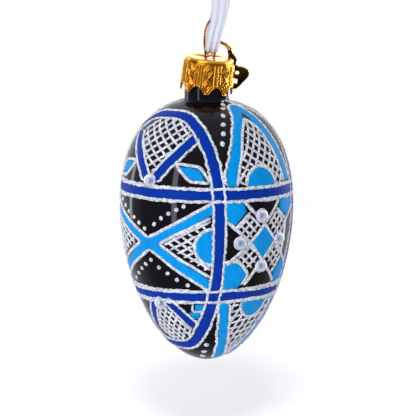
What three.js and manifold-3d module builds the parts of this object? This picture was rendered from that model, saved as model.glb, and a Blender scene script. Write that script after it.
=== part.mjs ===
// A hand-painted hollow glass egg on a ribbon: blown shell, stuck-on half pearls, stamped cap, wire hanger,
// jump ring, pierced charm and a knotted ribbon loop. Millimetres, +Z up, -Y is the front.
// The origin is the point under the knot where a hook carries the ribbon loop.
import * as THREE from "three";
import { mergeVertices } from "three/addons/utils/BufferGeometryUtils.js";
import Module from "manifold-3d";

const wasm = await Module();
wasm.setup();

// Clearances
const gap = 0.3; // between pieces that touch
const wireClearance = 0.4; // round each hanger leg in the cap's holes
const capRimClearance = 1.4; // between the neck's rim and the cap, so that the cap can lean
const capHemClearance = 0.75; // between the neck and the cap's hem
const capSeatClearance = 1.7; // between the neck's rim and the cap's top, for the same reason

// Glass shell: two half superellipses that meet at the equator, and a tapered neck
const eggRadius = 27.5;
const eggBelowEquator = 50.2;
const eggAboveEquator = 34.5; // where the upper curve would close, without the neck
const lowerFullness = 1.87; // 2 is an ellipse, more is fuller
const upperFullness = 2.3;
const glassWall = 0.8;
const neckRadius = 7.0;
const neckTaper = 1.1; // by which the neck's rim is narrower
const neckStraightLength = 3.15; // both lengths run up from the shoulder
const neckLength = 11.55;
const neckRimRadius = neckRadius - neckTaper;
const shoulder = curveHeight(neckRadius, eggRadius, eggAboveEquator); // heights are above the equator
const neckStraightTop = shoulder + neckStraightLength;
const neckHeight = shoulder + neckLength;

// Cap: stamped sheet, wider at its toothed hem
const capWall = 0.4;
const capHeight = 11.1; // hem tips to top
const capTopRadius = neckRimRadius + capRimClearance + capWall;
const capHemRadius = neckRadius + capHemClearance + capWall;
const capEdgeRadius = 0.8;
const capTeeth = 8;
const toothHeight = 2.5;
const toothTipWidth = 1.4;
const capTopHeight = neckHeight + capSeatClearance + capWall;
const capPivotHeight = shoulder + 4.35; // the cap leans about this point of the neck
const capLeanRight = THREE.MathUtils.degToRad(6.5);
const capLeanForward = THREE.MathUtils.degToRad(4);

// Wire hanger: a sprung loop whose legs run down into the neck
const wireDiameter = 0.7;
const loopHeight = 13;
const loopHalfWidth = 3.1;
const legHalfSpacing = 1.65; // where the legs pass the cap
const footHalfSpacing = 3.9;
const legDepth = 23; // below the cap's top
const loopYaw = THREE.MathUtils.degToRad(40); // the right side is turned away

// Jump ring and charm
const ringWire = 0.6;
const ringSlack = 0.4; // the wire crosses the ring at a slant
const ringBearing = new THREE.Vector3(0.1, 1, 0).normalize(); // the way the ring points from the leg
const eyeInsideEdge = 1.28; // the charm's eye stops this far short of the cap's rear edge
const charmThickness = 0.7;
const charmHoleRadius = 0.65;
const charmHoles = [[-1.7, -9.3], [-2.6, -6.6]]; // across and up from the eye
const charmWindow = [-1.4, -11.6];
const charmWindowHalf = 0.8;
const charmEdge = [
  [-0.6, -1.15], [-1.1, -2.4], [-2, -3.6], [-2.9, -4.8], [-3.6, -6.2], [-4.1, -7.6], [-4, -9], [-3.5, -10.4],
  [-3.4, -11.6], [-2.9, -12.7], [-1.8, -13.4], [-0.2, -13.4], [1, -12.6], [1.8, -11.2], [1.5, -9.5],
  [0.6, -8.3], [-0.4, -7.4], [-0.4, -6.5], [0.6, -5.2], [0.6, -3.8], [0.5, -2.6], [0.6, -1.15],
];
const charmEyeRadius = 1.15;
const charmEyeWire = 0.6;
const ringRoll = THREE.MathUtils.degToRad(50);
const ringTilt = THREE.MathUtils.degToRad(52);
const charmRoll = THREE.MathUtils.degToRad(36); // the charm hangs out to the right
const charmTilt = THREE.MathUtils.degToRad(14); // and leans over the cap's rear edge

// Half pearls
const pearlRadius = 2;
const pearlHeight = 1.8;

// Ribbon, gathered to a narrow strand where it runs through the loop
const ribbonGather = 1.4;
const ribbonThickness = 0.9;
const hookAboveCap = 30;
const hookRightOfEgg = 5;
const knotRadii = new THREE.Vector3(3.6, 3.0, 3.4);
const knotCentreHeight = 5.2;
const tailWidth = 5.6;
const tailThickness = 0.7;

const gold = { color: 0xe8a514, metalness: 1, roughness: 0.28 };
const copper = { color: 0xb5683f, metalness: 1, roughness: 0.3 };
const bronze = { color: 0x4a3b22, metalness: 0.8, roughness: 0.4 };
const blackGlass = { color: 0x120f16, metalness: 0, roughness: 0.08 };
const pearlShine = { color: 0xe9e7ec, metalness: 0.1, roughness: 0.2 };
const satin = { color: 0xeceef6, metalness: 0, roughness: 0.6 };

const capTopPoint = new THREE.Vector3(0, 0, capTopHeight - capPivotHeight);

// --- solids ---------------------------------------------------------------------------------------------

function toSolid(geometry) {
  const bare = new THREE.BufferGeometry();
  bare.setAttribute("position", geometry.getAttribute("position"));
  bare.setIndex(geometry.index);
  const merged = mergeVertices(bare, 1e-4);
  return new wasm.Manifold(new wasm.Mesh({
    numProp: 3,
    vertProperties: merged.attributes.position.array,
    triVerts: new Uint32Array(merged.index.array),
  }));
}

function toGeometry(solid) {
  const mesh = solid.getMesh();
  const geometry = new THREE.BufferGeometry();
  geometry.setAttribute("position", new THREE.BufferAttribute(mesh.vertProperties, 3));
  geometry.setIndex(new THREE.BufferAttribute(mesh.triVerts, 1));
  return geometry;
}

function named(name, geometry, look) {
  const mesh = new THREE.Mesh(geometry, new THREE.MeshStandardMaterial(look));
  mesh.name = name;
  return mesh;
}

// A profile of (radius, height) turned about Z. The profile runs upwards on the outside.
function turned(profile, segments) {
  const geometry = new THREE.LatheGeometry(profile, segments);
  return geometry.rotateX(Math.PI / 2);
}

function ovalSection(width, thickness, sides) {
  const section = new THREE.Shape();
  for (let i = 0; i < sides; i++) {
    const turn = (2 * Math.PI * (i + 0.5)) / sides;
    const x = (thickness / 2) * Math.cos(turn);
    const y = (width / 2) * Math.sin(turn);
    if (i) section.lineTo(x, y);
    else section.moveTo(x, y);
  }
  return section;
}

function swept(section, points, steps) {
  const extrudePath = new THREE.CatmullRomCurve3(points, false, "centripetal");
  return new THREE.ExtrudeGeometry(section, { steps, extrudePath });
}

// --- glass shell ----------------------------------------------------------------------------------------

// Points of a quarter superellipse from the equator (share 0) to the pole (share 1).
function eggPoint(radius, pole, fullness, share) {
  const turn = (share * Math.PI) / 2;
  const out = Math.max(Math.cos(turn), 0) ** (2 / fullness);
  const along = Math.sin(turn) ** (2 / fullness);
  return new THREE.Vector2(radius * out, pole * along);
}

// The height at which the upper curve has the given radius.
function curveHeight(radius, equator, pole) {
  return pole * (1 - (radius / equator) ** upperFullness) ** (1 / upperFullness);
}

function eggProfile(inset, lowerSteps, upperSteps) {
  const equator = eggRadius - inset;
  const points = [];
  for (let i = 0; i <= lowerSteps; i++) {
    const share = 1 - i / lowerSteps;
    points.push(eggPoint(equator, -(eggBelowEquator - inset), lowerFullness, share));
  }
  points[0].x = 0;
  for (let i = 1; i < upperSteps; i++) {
    const point = eggPoint(equator, eggAboveEquator - inset, upperFullness, i / upperSteps);
    if (point.x > neckRadius - inset + 1) points.push(point);
  }
  const neckFoot = curveHeight(neckRadius - inset, equator, eggAboveEquator - inset);
  points.push(new THREE.Vector2(neckRadius - inset, neckFoot));
  points.push(new THREE.Vector2(neckRadius - inset, neckStraightTop));
  points.push(new THREE.Vector2(neckRimRadius - inset, neckHeight));
  return points;
}

function glassShell() {
  const outside = eggProfile(0, 12, 11);
  const inside = eggProfile(glassWall, 9, 8).reverse();
  return turned([...outside, ...inside], 48);
}

// --- half pearls ----------------------------------------------------------------------------------------

// The radius of the outer surface at a height above the equator.
function surfaceRadius(height) {
  const pole = height < 0 ? eggBelowEquator : eggAboveEquator;
  const fullness = height < 0 ? lowerFullness : upperFullness;
  return eggRadius * (1 - Math.abs(height / pole) ** fullness) ** (1 / fullness);
}

// Longitude 0 is the front and grows to the right.
function surfacePoint(longitude, height, lift) {
  const step = 0.01;
  const slope = (surfaceRadius(height + step) - surfaceRadius(height - step)) / (2 * step);
  const across = new THREE.Vector3(Math.sin(longitude), -Math.cos(longitude), 0);
  const normal = across.clone().addScaledVector(new THREE.Vector3(0, 0, 1), -slope).normalize();
  const point = across.clone().multiplyScalar(surfaceRadius(height));
  point.z = height;
  return { point: point.addScaledVector(normal, lift), normal };
}

function pearlGeometry() {
  const profile = [new THREE.Vector2(0, 0), new THREE.Vector2(pearlRadius, 0)];
  const steps = 4;
  for (let i = 1; i <= steps; i++) {
    const turn = (i / steps) * (Math.PI / 2);
    profile.push(new THREE.Vector2(pearlRadius * Math.cos(turn), pearlHeight * Math.sin(turn)));
  }
  profile.at(-1).x = 0;
  return turned(profile, 12);
}

// Each face comes twice, half a turn apart. A pearl's place on its face is an angle off the face's middle,
// in degrees, and a height above the equator.
const loopFaceTurns = [-41, 139];
const diamondFaceTurns = [38.5, -141.5];
const loopFacePearls = [["upper", 0, 10.6], ["lower", 0, -28.8]];
const diamondFacePearls = [
  ["top", -1.2, -0.2], ["bottom", 1.4, -16.4], ["left", -16.8, -8.4], ["right", 16.8, -8.4],
];

function pearls() {
  const group = new THREE.Group();
  const geometry = pearlGeometry();
  const place = (turns, layout, faceName) => turns.forEach((turn, index) => {
    for (const [spot, offset, height] of layout) {
      const longitude = THREE.MathUtils.degToRad(turn + offset);
      const { point, normal } = surfacePoint(longitude, height, gap);
      const pearl = named(`pearl_${faceName}_${index + 1}_${spot}`, geometry, pearlShine);
      pearl.position.copy(point);
      pearl.quaternion.setFromUnitVectors(new THREE.Vector3(0, 0, 1), normal);
      group.add(pearl);
    }
  });
  place(loopFaceTurns, loopFacePearls, "loop_face");
  place(diamondFaceTurns, diamondFacePearls, "diamond_face");
  return group;
}

// --- cap ------------------------------------------------------------------------------------------------

// The cap's own frame has its origin at the lean pivot and Z along the cap's axis.
function capProfile() {
  const top = capTopPoint.z;
  const hem = top - capHeight;
  const edge = [];
  for (let i = 0; i <= 3; i++) {
    const turn = (i / 3) * (Math.PI / 2);
    edge.push(new THREE.Vector2(
      capTopRadius - capEdgeRadius * (1 - Math.cos(turn)),
      top - capEdgeRadius * (1 - Math.sin(turn)),
    ));
  }
  return [
    new THREE.Vector2(0, top - capWall),
    new THREE.Vector2(capTopRadius - capWall, top - capWall),
    new THREE.Vector2(capHemRadius - capWall, hem),
    new THREE.Vector2(capHemRadius, hem),
    ...edge,
    new THREE.Vector2(0, top),
  ];
}

function hemNotch() {
  const pitch = (2 * Math.PI * capHemRadius) / capTeeth;
  const halfMouth = (pitch - toothTipWidth) / 2;
  const below = 1;
  const shape = new THREE.Shape();
  shape.moveTo(-halfMouth, -below);
  shape.lineTo(halfMouth, -below);
  shape.lineTo(halfMouth, 0);
  shape.quadraticCurveTo(halfMouth * 0.45, toothHeight * 1.02, 0, toothHeight);
  shape.quadraticCurveTo(-halfMouth * 0.45, toothHeight * 1.02, -halfMouth, 0);
  const geometry = new THREE.ExtrudeGeometry(shape, {
    depth: capHemRadius, bevelEnabled: false, curveSegments: 4,
  });
  return geometry.rotateX(Math.PI / 2).translate(0, -capHemRadius / 2, capTopPoint.z - capHeight);
}

function capGeometry() {
  let cap = toSolid(turned(capProfile(), 64));
  for (let i = 0; i < capTeeth; i++) {
    const turn = ((i + 0.5) * 2 * Math.PI) / capTeeth;
    cap = cap.subtract(toSolid(hemNotch().rotateZ(turn)));
  }
  const holeRadius = wireDiameter / 2 + wireClearance;
  for (const side of [-1, 1]) {
    const hole = new THREE.CylinderGeometry(holeRadius, holeRadius, 4 * capWall, 16).rotateX(Math.PI / 2);
    hole.translate(side * legHalfSpacing, 0, capTopPoint.z).rotateZ(loopYaw);
    cap = cap.subtract(toSolid(hole));
  }
  return toGeometry(cap);
}

function inCapFrame(object) {
  object.position.z += capPivotHeight;
  object.rotation.set(capLeanForward, capLeanRight, 0);
  return object;
}

// A point in the loop's plane: across to the right, back from it, and up from the cap's top.
function loopPoint(across, back, up) {
  const turned = new THREE.Vector3(across, back, 0).applyAxisAngle(new THREE.Vector3(0, 0, 1), loopYaw);
  return turned.add(capTopPoint).add(new THREE.Vector3(0, 0, up));
}

// --- wire hanger ----------------------------------------------------------------------------------------

function wireGeometry() {
  const lean = inCapFrame(new THREE.Group());
  lean.updateMatrix();
  const above = (across, up) => loopPoint(across, 0, up).applyMatrix4(lean.matrix);
  const below = (across, down) => {
    const point = new THREE.Vector3(across, 0, capTopHeight - down);
    return point.applyAxisAngle(new THREE.Vector3(0, 0, 1), loopYaw);
  };
  const half = (side) => [
    above(side * loopHalfWidth * 0.55, loopHeight * 0.9),
    above(side * loopHalfWidth * 0.9, loopHeight * 0.76),
    above(side * loopHalfWidth, loopHeight * 0.57),
    above(side * loopHalfWidth * 0.95, loopHeight * 0.38),
    above(side * (legHalfSpacing + 0.5), loopHeight * 0.13),
    above(side * legHalfSpacing, 0),
    above(side * legHalfSpacing, -2 * capWall),
    below(side * (legHalfSpacing + 0.45), legDepth * 0.3),
    below(side * footHalfSpacing * 0.8, legDepth * 0.62),
    below(side * footHalfSpacing, legDepth * 0.88),
    below(side * (footHalfSpacing - 0.5), legDepth),
  ];
  const points = [...half(-1).reverse(), above(0, loopHeight), ...half(1)];
  return swept(ovalSection(wireDiameter, wireDiameter, 8), points, 72);
}

// --- jump ring and charm --------------------------------------------------------------------------------

// How a piece hangs behind the cap. Its cross-wise side is rolled up at the right-hand end, and it points
// between straight down (tilt 0) and level along the ring's bearing (tilt 90).
function hanging(roll, tilt) {
  const up = new THREE.Vector3(0, 0, 1);
  const aside = new THREE.Vector3().crossVectors(ringBearing, up).multiplyScalar(Math.cos(roll));
  aside.addScaledVector(up, Math.sin(roll));
  const down = up.clone().negate().addScaledVector(aside, aside.z).normalize();
  const along = down.multiplyScalar(Math.cos(tilt)).addScaledVector(ringBearing, Math.sin(tilt));
  const inward = along.clone().negate();
  const out = new THREE.Vector3().crossVectors(aside, inward);
  const axes = new THREE.Matrix4().makeBasis(aside, inward, out);
  return { along, turn: new THREE.Quaternion().setFromRotationMatrix(axes) };
}

// The ring goes round the right-hand leg and slopes back; the charm's eye hangs on its far side.
const ringHang = hanging(ringRoll, ringTilt);
const charmHang = hanging(charmRoll, charmTilt);
const ringBearingPoint = loopPoint(loopHalfWidth * 0.96, 0, loopHeight * 0.4);
const ringInset = wireDiameter / 2 + ringWire / 2 + gap + ringSlack;
const ringReach = capTopRadius - eyeInsideEdge - ringBearingPoint.dot(ringBearing);
const ringRadius = (ringReach / Math.sin(ringTilt) + ringInset) / 2;
const ringCentre = ringBearingPoint.clone().addScaledVector(ringHang.along, ringRadius - ringInset);
const charmEyePoint = ringCentre.clone().addScaledVector(ringHang.along, ringRadius);

function ringMesh() {
  const ring = named("jump_ring", new THREE.TorusGeometry(ringRadius, ringWire / 2, 8, 28), gold);
  ring.position.copy(ringCentre);
  ring.quaternion.copy(ringHang.turn);
  return ring;
}

// A plain pierced plate with a wavy edge, hung by its upper corner from a cross-wise eye.
function charmShape() {
  const corners = charmEdge.map(([across, up]) => new THREE.Vector3(across, up, 0));
  const edge = new THREE.CatmullRomCurve3(corners, true, "centripetal").getSpacedPoints(64);
  const shape = new THREE.Shape(edge.slice(0, -1).map((point) => new THREE.Vector2(point.x, point.y)));
  const window = new THREE.Path();
  const [windowAcross, windowUp] = charmWindow;
  window.moveTo(windowAcross, windowUp + 1.2 * charmWindowHalf);
  window.lineTo(windowAcross + charmWindowHalf, windowUp);
  window.lineTo(windowAcross, windowUp - 1.2 * charmWindowHalf);
  window.lineTo(windowAcross - charmWindowHalf, windowUp);
  window.lineTo(windowAcross, windowUp + 1.2 * charmWindowHalf);
  shape.holes.push(window);
  for (const [across, up] of charmHoles) {
    shape.holes.push(new THREE.Path().absarc(across, up, charmHoleRadius, 0, 2 * Math.PI, true));
  }
  return shape;
}

function charmMesh() {
  const plate = new THREE.ExtrudeGeometry(charmShape(), {
    depth: charmThickness, bevelEnabled: false, curveSegments: 5,
  }).translate(0, 0, -charmThickness / 2);
  const eye = new THREE.TorusGeometry(charmEyeRadius, charmEyeWire / 2, 8, 20).rotateY(Math.PI / 2);
  const charm = named("charm_tag", toGeometry(toSolid(plate).add(toSolid(eye))), bronze);
  charm.position.copy(charmEyePoint);
  charm.quaternion.copy(charmHang.turn);
  return charm;
}

// --- ribbon ---------------------------------------------------------------------------------------------

// From under the knot it passes in front of the wire loop, folds at the cap and returns behind the loop.
function ribbonPoints() {
  return [
    [0.0, -1.9, 2.1], [-0.1, -2.1, -3], [-0.5, -2.8, -11], [-1.1, -3.4, -17], [-2.2, -3.5, -22],
    [-3.1, -3.2, -26], [-3.7, -2.4, -28.2], [-4.0, -0.7, -29.0], [-4.2, 1.0, -28.1], [-4.2, 1.9, -26],
    [-3.5, 2.5, -20.5], [-1.3, 2.1, -12], [-0.3, 1.9, -4], [0.0, 1.9, 2.1],
  ].map((point) => new THREE.Vector3(...point));
}

function knotGeometry() {
  const ball = new THREE.SphereGeometry(1, 20, 12).scale(knotRadii.x, knotRadii.y, knotRadii.z);
  let knot = toSolid(ball.rotateX(Math.PI / 2).translate(0, 0, knotCentreHeight));
  const corners = [[-1, -1], [1, -1], [1, 1], [-1, 1]];
  const section = new THREE.Shape(corners.map(
    ([x, y]) => new THREE.Vector2((x * tailWidth) / 2, (y * tailThickness) / 2),
  ));
  for (const side of [-1, 1]) {
    const tail = [[0, 0, 0], [0.6, -0.1, 5], [2.4, -0.5, 10], [5.6, -1.2, 15]].map(
      ([x, y, z]) => new THREE.Vector3(side * x, side * y, knotCentreHeight + z),
    );
    knot = knot.add(toSolid(swept(section, tail, 8)));
  }
  return toGeometry(knot);
}

// --- assembly -------------------------------------------------------------------------------------------

const ornament = new THREE.Group();

const egg = new THREE.Group();
egg.add(named("glass_shell", glassShell(), blackGlass));
egg.add(pearls());
egg.add(named("hanger_wire", wireGeometry(), copper));
egg.position.set(-hookRightOfEgg, 0, -(hookAboveCap + capTopHeight));

const leaning = inCapFrame(new THREE.Group());
leaning.add(named("ornament_cap", capGeometry(), gold));
leaning.add(ringMesh());
leaning.add(charmMesh());
egg.add(leaning);
ornament.add(egg);

const ribbonSection = ovalSection(ribbonGather, ribbonThickness, 8);
ornament.add(named("ribbon", swept(ribbonSection, ribbonPoints(), 48), satin));
ornament.add(named("ribbon_knot", knotGeometry(), satin));

export default ornament;
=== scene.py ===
"""Hanging glass egg ornament: painted shell, half pearls, stamped cap, wire loop, ring, charm and ribbon.

Lengths in the layout of the paint are degrees of turn round the egg and millimetres above its widest part.
"""

import math
import random

import bmesh
import bpy
from mathutils import Matrix, Vector, noise


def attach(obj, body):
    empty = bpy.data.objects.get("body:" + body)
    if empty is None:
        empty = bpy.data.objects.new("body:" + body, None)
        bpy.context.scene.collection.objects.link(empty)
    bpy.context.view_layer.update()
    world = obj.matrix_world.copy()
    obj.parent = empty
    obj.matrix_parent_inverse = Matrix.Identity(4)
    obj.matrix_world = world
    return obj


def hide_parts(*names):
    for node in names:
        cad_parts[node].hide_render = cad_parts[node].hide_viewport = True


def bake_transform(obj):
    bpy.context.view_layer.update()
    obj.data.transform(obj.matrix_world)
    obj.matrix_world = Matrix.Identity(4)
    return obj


bl_info = {
    "name": "Glass egg ornament",
    "version": (1, 0, 0),
    "blender": (4, 5, 0),
    "location": "3D View > Sidebar > Ornament",
    "description": "Builds a painted glass egg ornament on its CAD frame",
    "category": "Add Mesh",
}

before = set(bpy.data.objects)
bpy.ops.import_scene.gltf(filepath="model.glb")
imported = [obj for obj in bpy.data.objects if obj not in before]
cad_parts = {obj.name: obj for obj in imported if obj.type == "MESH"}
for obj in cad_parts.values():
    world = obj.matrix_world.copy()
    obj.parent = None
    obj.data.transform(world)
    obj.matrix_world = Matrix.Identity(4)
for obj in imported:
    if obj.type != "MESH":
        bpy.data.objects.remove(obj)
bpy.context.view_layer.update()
MM = 0.001
TAU = math.tau

# Shared with the CAD model, in millimetres
EGG_RADIUS = 27.5
EGG_BELOW, EGG_ABOVE = 50.2, 34.5
LOWER_FULLNESS, UPPER_FULLNESS = 1.87, 2.3
SHOULDER = 33.847
NECK_RADIUS, NECK_RIM_RADIUS = 7.0, 5.9
NECK_STRAIGHT, NECK_LENGTH = 3.15, 11.55
GLASS_WALL = 0.8
METAL_SLOTS = ("gold_cap", "gold_ring", "copper_wire", "dark_bronze")  # lit by their own lamps
EGG_CENTRE = Vector((-5.0, 0.0, -77.497))
CAP_PIVOT = SHOULDER + 4.35
CAP_TOP = 9.3
CAP_HEIGHT = 11.1
CAP_TOP_RADIUS, CAP_HEM_RADIUS = 7.7, 8.15
CAP_TEETH = 8
CAP_WALL, CAP_EDGE = 0.4, 0.8
CAP_FLAT_RADIUS = 6.9
TOOTH_TIP, TOOTH_HEIGHT = 1.4, 2.5
CAP_LEAN_RIGHT, CAP_LEAN_FORWARD = math.radians(6.5), math.radians(4)
WIRE_DIAMETER = 0.7
LOOP_HEIGHT, LOOP_HALF_WIDTH = 13.0, 3.1
LEG_HALF_SPACING, FOOT_HALF_SPACING, LEG_DEPTH = 1.65, 3.9, 23.0
LOOP_YAW = math.radians(40)
RING_WIRE = 0.6
RING_ROLL, RING_TILT = math.radians(50), math.radians(52)
RING_SLACK, PIECE_GAP = 0.4, 0.3
EYE_INSIDE_EDGE = 1.28
RING_BEARING = Vector((0.1, 1.0, 0.0)).normalized()
CHARM_ROLL, CHARM_TILT = math.radians(36), math.radians(14)
CHARM_EYE_RADIUS, CHARM_HOLE_RADIUS = 1.15, 0.65
PEARL_RADIUS = 2.0

# Front faces of the two motifs; each comes again half a turn round
LOOP_FACE = -41.0
DIAMOND_FACE = 38.5
FACE_REPEATS = (0.0, 180.0)


# --- materials ------------------------------------------------------------------------------------------


TINT = {"data_type": "RGBA"}
ADD, MULTIPLY = {"operation": "ADD"}, {"operation": "MULTIPLY"}


def linear(code):
    """An sRGB hex colour as linear red, green and blue."""
    parts = [int(code[i : i + 2], 16) / 255 for i in (1, 3, 5)]
    return [c / 12.92 if c <= 0.04045 else ((c + 0.055) / 1.055) ** 2.4 for c in parts]


def plug(tree, made, **values):
    """Links or values for a node's inputs, by name (spaces as underscores) or by number (i0, i1)."""
    for key, value in values.items():
        socket = made.inputs[int(key[1:]) if key[0] == "i" and key[1:].isdigit() else key.replace("_", " ")]
        if isinstance(value, bpy.types.NodeSocket):
            tree.links.new(value, socket)
        else:
            socket.default_value = value


def node(tree, kind, settings=None, **values):
    """A node with its settings and its inputs."""
    made = tree.nodes.new(kind)
    for key, value in (settings or {}).items():
        setattr(made, key, value)
    plug(tree, made, **values)
    return made


def finish_material(name, **surface):
    """A material with an empty tree but its shader, whose plain values are set here."""
    material = bpy.data.materials.new(name)
    material.use_nodes = True
    tree = material.node_tree
    tree.nodes.clear()
    shader = node(tree, "ShaderNodeBsdfPrincipled", **surface)
    out = node(tree, "ShaderNodeOutputMaterial")
    plug(tree, out, i0=shader.outputs[0])
    place = node(tree, "ShaderNodeTexCoord").outputs["Object"]
    return material, tree, shader, place


def rgba(colour, scale=1.0):
    """A linear colour made lighter or darker, with its alpha."""
    return [*(min(1.0, c * scale) for c in colour), 1.0]


def blown_glass(settings):
    """Black lacquer on blown glass: deep gloss, with slow waves where the glass was turned.

    The waves are 11 mm apart and the lacquer's cloudy patches 4 mm.
    """
    material, tree, shader, place = finish_material(
        "lacquered_blown_glass", Roughness=0.06, IOR=1.5, Specular_IOR_Level=0.2
    )
    waves = node(tree, "ShaderNodeTexNoise", Vector=place, Scale=90.0, Detail=1.0)
    bump = node(tree, "ShaderNodeBump", Strength=0.05, Distance=0.0004, Height=waves.outputs[0])
    shade = node(tree, "ShaderNodeTexNoise", Vector=place, Scale=260.0, Detail=2.0)
    tone = node(tree, "ShaderNodeMix", TINT, i0=shade.outputs[0],
                i6=rgba(settings.glass_colour, 0.8), i7=rgba(settings.glass_colour, 1.25))
    plug(tree, shader, Base_Color=tone.outputs[2], Normal=bump.outputs[0])
    return material


def enamel(name, colour):
    """Brushed enamel: one strong colour with faint strokes, 1.1 mm by 9 mm, where the brush dragged it."""
    material, tree, shader, place = finish_material(name, Roughness=0.45, IOR=1.5, Specular_IOR_Level=0.08)
    squeeze = node(tree, "ShaderNodeMapping", Vector=place, Scale=(900.0, 900.0, 110.0))
    strokes = node(tree, "ShaderNodeTexNoise", Vector=squeeze.outputs[0], Scale=1.0, Detail=3.0)
    tone = node(tree, "ShaderNodeMix", TINT, i0=strokes.outputs[0],
                i6=rgba(colour, 0.72), i7=rgba(colour, 1.28))
    bump = node(tree, "ShaderNodeBump", Strength=0.25, Distance=0.0001, Height=strokes.outputs[0])
    plug(tree, shader, Base_Color=tone.outputs[2], Normal=bump.outputs[0])
    return material


def glitter(settings):
    """White relief paste full of fine glitter: each grain has its own brightness and tilt.

    Real grains are about 0.2 mm. They are drawn 0.6 mm wide, as coarse as they need to be to show.
    """
    material, tree, shader, place = finish_material("glitter_relief_paste", Roughness=0.42, IOR=1.5)
    grains = node(tree, "ShaderNodeTexVoronoi", Vector=place, Scale=1700.0)
    value = node(tree, "ShaderNodeSeparateColor", Color=grains.outputs["Color"])
    tone = node(tree, "ShaderNodeMix", TINT, i0=value.outputs[0],
                i6=rgba(settings.glitter_colour, 0.5), i7=rgba(settings.glitter_colour, 1.12))
    bump = node(tree, "ShaderNodeBump", Strength=0.7, Distance=0.0003, Height=value.outputs[1])
    plug(tree, shader, Base_Color=tone.outputs[2], Normal=bump.outputs[0])
    return material


def pearl_shine(settings):
    """Moulded plastic half pearl with a pearl essence coat, its colour painted by how squarely it faces the
    view: a darker grey-blue middle as painted reflection, a bright ring as painted highlight, a cooler
    grey-blue rim.

    The cloudiness of the coat is 1.4 mm across.
    """
    material, tree, shader, place = finish_material(
        "pearl_coated_plastic", Roughness=0.2, IOR=1.5, Coat_Weight=1.0, Coat_Roughness=0.04, Metallic=0.45
    )
    # Painted reflection and highlight: the base colour follows how squarely the pearl faces the view, darker
    # in the middle for the reflected dark front and bright in a ring for the highlight
    facing = node(tree, "ShaderNodeLayerWeight", Blend=0.5).outputs["Facing"]
    tone = node(tree, "ShaderNodeValToRGB", Fac=facing)
    ramp = tone.color_ramp
    ramp.elements[0].color = rgba(linear("#8C9DC6"))
    ramp.elements[1].color = rgba(linear("#A9B4D8"))
    for stop, code in ((0.07, "#A9B8DC"), (0.2, "#E6ECFC"), (0.4, "#F0F3FF"), (0.68, "#D3DAF2")):
        ramp.elements.new(stop).color = rgba(linear(code))
    cloud = node(tree, "ShaderNodeTexNoise", Vector=place, Scale=700.0, Detail=2.0)
    bump = node(tree, "ShaderNodeBump", Strength=0.08, Distance=0.0002, Height=cloud.outputs[0])
    plug(tree, shader, Base_Color=tone.outputs[0], Normal=bump.outputs[0])
    return material


def stamped_gold(settings):
    """Anodised sheet stamped with a relief: the raised lines keep the gold, and the hollows between them are
    painted a darker amber as painted shade, with a little random unevenness.
    """
    material, tree, shader, place = finish_material("gold_anodised_sheet", Metallic=1.0, Roughness=0.26)
    # Rolling marks 3 mm apart, so the reflections break up a little.
    cloud = node(tree, "ShaderNodeTexNoise", Vector=place, Scale=330.0, Detail=4.0).outputs["Fac"]
    rough, uneven = [
        node(tree, "ShaderNodeMapRange", Value=cloud, From_Min=0.3, From_Max=0.7, To_Min=low, To_Max=high)
        for low, high in ((0.2, 0.34), (-0.15, 0.15))
    ]
    # Painted shade: low relief (the stamped hollows) takes the darker amber, the raised lines take the gold
    relief = node(tree, "ShaderNodeAttribute", {"attribute_name": "relief"}).outputs["Fac"]
    clamped = {"operation": "ADD", "use_clamp": True}
    share = node(tree, "ShaderNodeMath", clamped, i0=relief, i1=uneven.outputs[0])
    tint = node(tree, "ShaderNodeMix", TINT, i0=share.outputs[0],
                i6=rgba(settings.hollow_shade_colour), i7=rgba(settings.gold_colour))
    plug(tree, shader, Base_Color=tint.outputs[2], Roughness=rough.outputs[0])
    return material


def drawn_metal(name, colour, roughness):
    """Drawn wire metal: smooth with faint die lines, a little darker in 2.4 mm patches from handling.

    The lines are 0.25 mm apart, coarser than real ones so that they show.
    """
    material, tree, shader, place = finish_material(name, Metallic=1.0, Roughness=roughness)
    worn = node(tree, "ShaderNodeTexNoise", Vector=place, Scale=420.0, Detail=3.0)
    tone = node(tree, "ShaderNodeMix", TINT, i0=worn.outputs[0],
                i6=rgba(colour, 0.65), i7=rgba(colour, 1.15))
    lines = node(tree, "ShaderNodeTexNoise", Vector=place, Scale=4000.0, Detail=1.0)
    bump = node(tree, "ShaderNodeBump", Strength=0.12, Distance=0.0001, Height=lines.outputs[0])
    plug(tree, shader, Base_Color=tone.outputs[2], Normal=bump.outputs[0])
    return material


def woven_satin(settings):
    """Polyester satin: lengthwise ribs, streaks 0.4 mm by 17 mm between them, and a soft sheen."""
    rib_spacing = 0.00045
    material, tree, shader, place = finish_material(
        "woven_satin_ribbon", Roughness=0.45, IOR=1.45, Sheen_Weight=0.35, Sheen_Roughness=0.4
    )
    across = node(tree, "ShaderNodeUVMap", {"uv_map": "weave"}).outputs[0]
    apart = node(tree, "ShaderNodeSeparateXYZ", Vector=across)
    phase = node(tree, "ShaderNodeMath", MULTIPLY, i0=apart.outputs[0], i1=TAU / rib_spacing)
    ribs = node(tree, "ShaderNodeMath", {"operation": "SINE"}, i0=phase.outputs[0])
    squeeze = node(tree, "ShaderNodeMapping", Vector=across, Scale=(2400.0, 60.0, 1.0))
    streaks = node(tree, "ShaderNodeTexNoise", Vector=squeeze.outputs[0], Scale=1.0, Detail=2.0)
    height = node(tree, "ShaderNodeMath", ADD, i0=ribs.outputs[0], i1=streaks.outputs[0])
    tone = node(tree, "ShaderNodeMix", TINT, i0=streaks.outputs[0],
                i6=rgba(settings.ribbon_colour, 0.78), i7=rgba(settings.ribbon_colour, 1.12))
    bump = node(tree, "ShaderNodeBump", Strength=0.35, Distance=0.0001, Height=height.outputs[0])
    plug(tree, shader, Base_Color=tone.outputs[2], Normal=bump.outputs[0])
    return material


# --- meshes ---------------------------------------------------------------------------------------------


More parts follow.
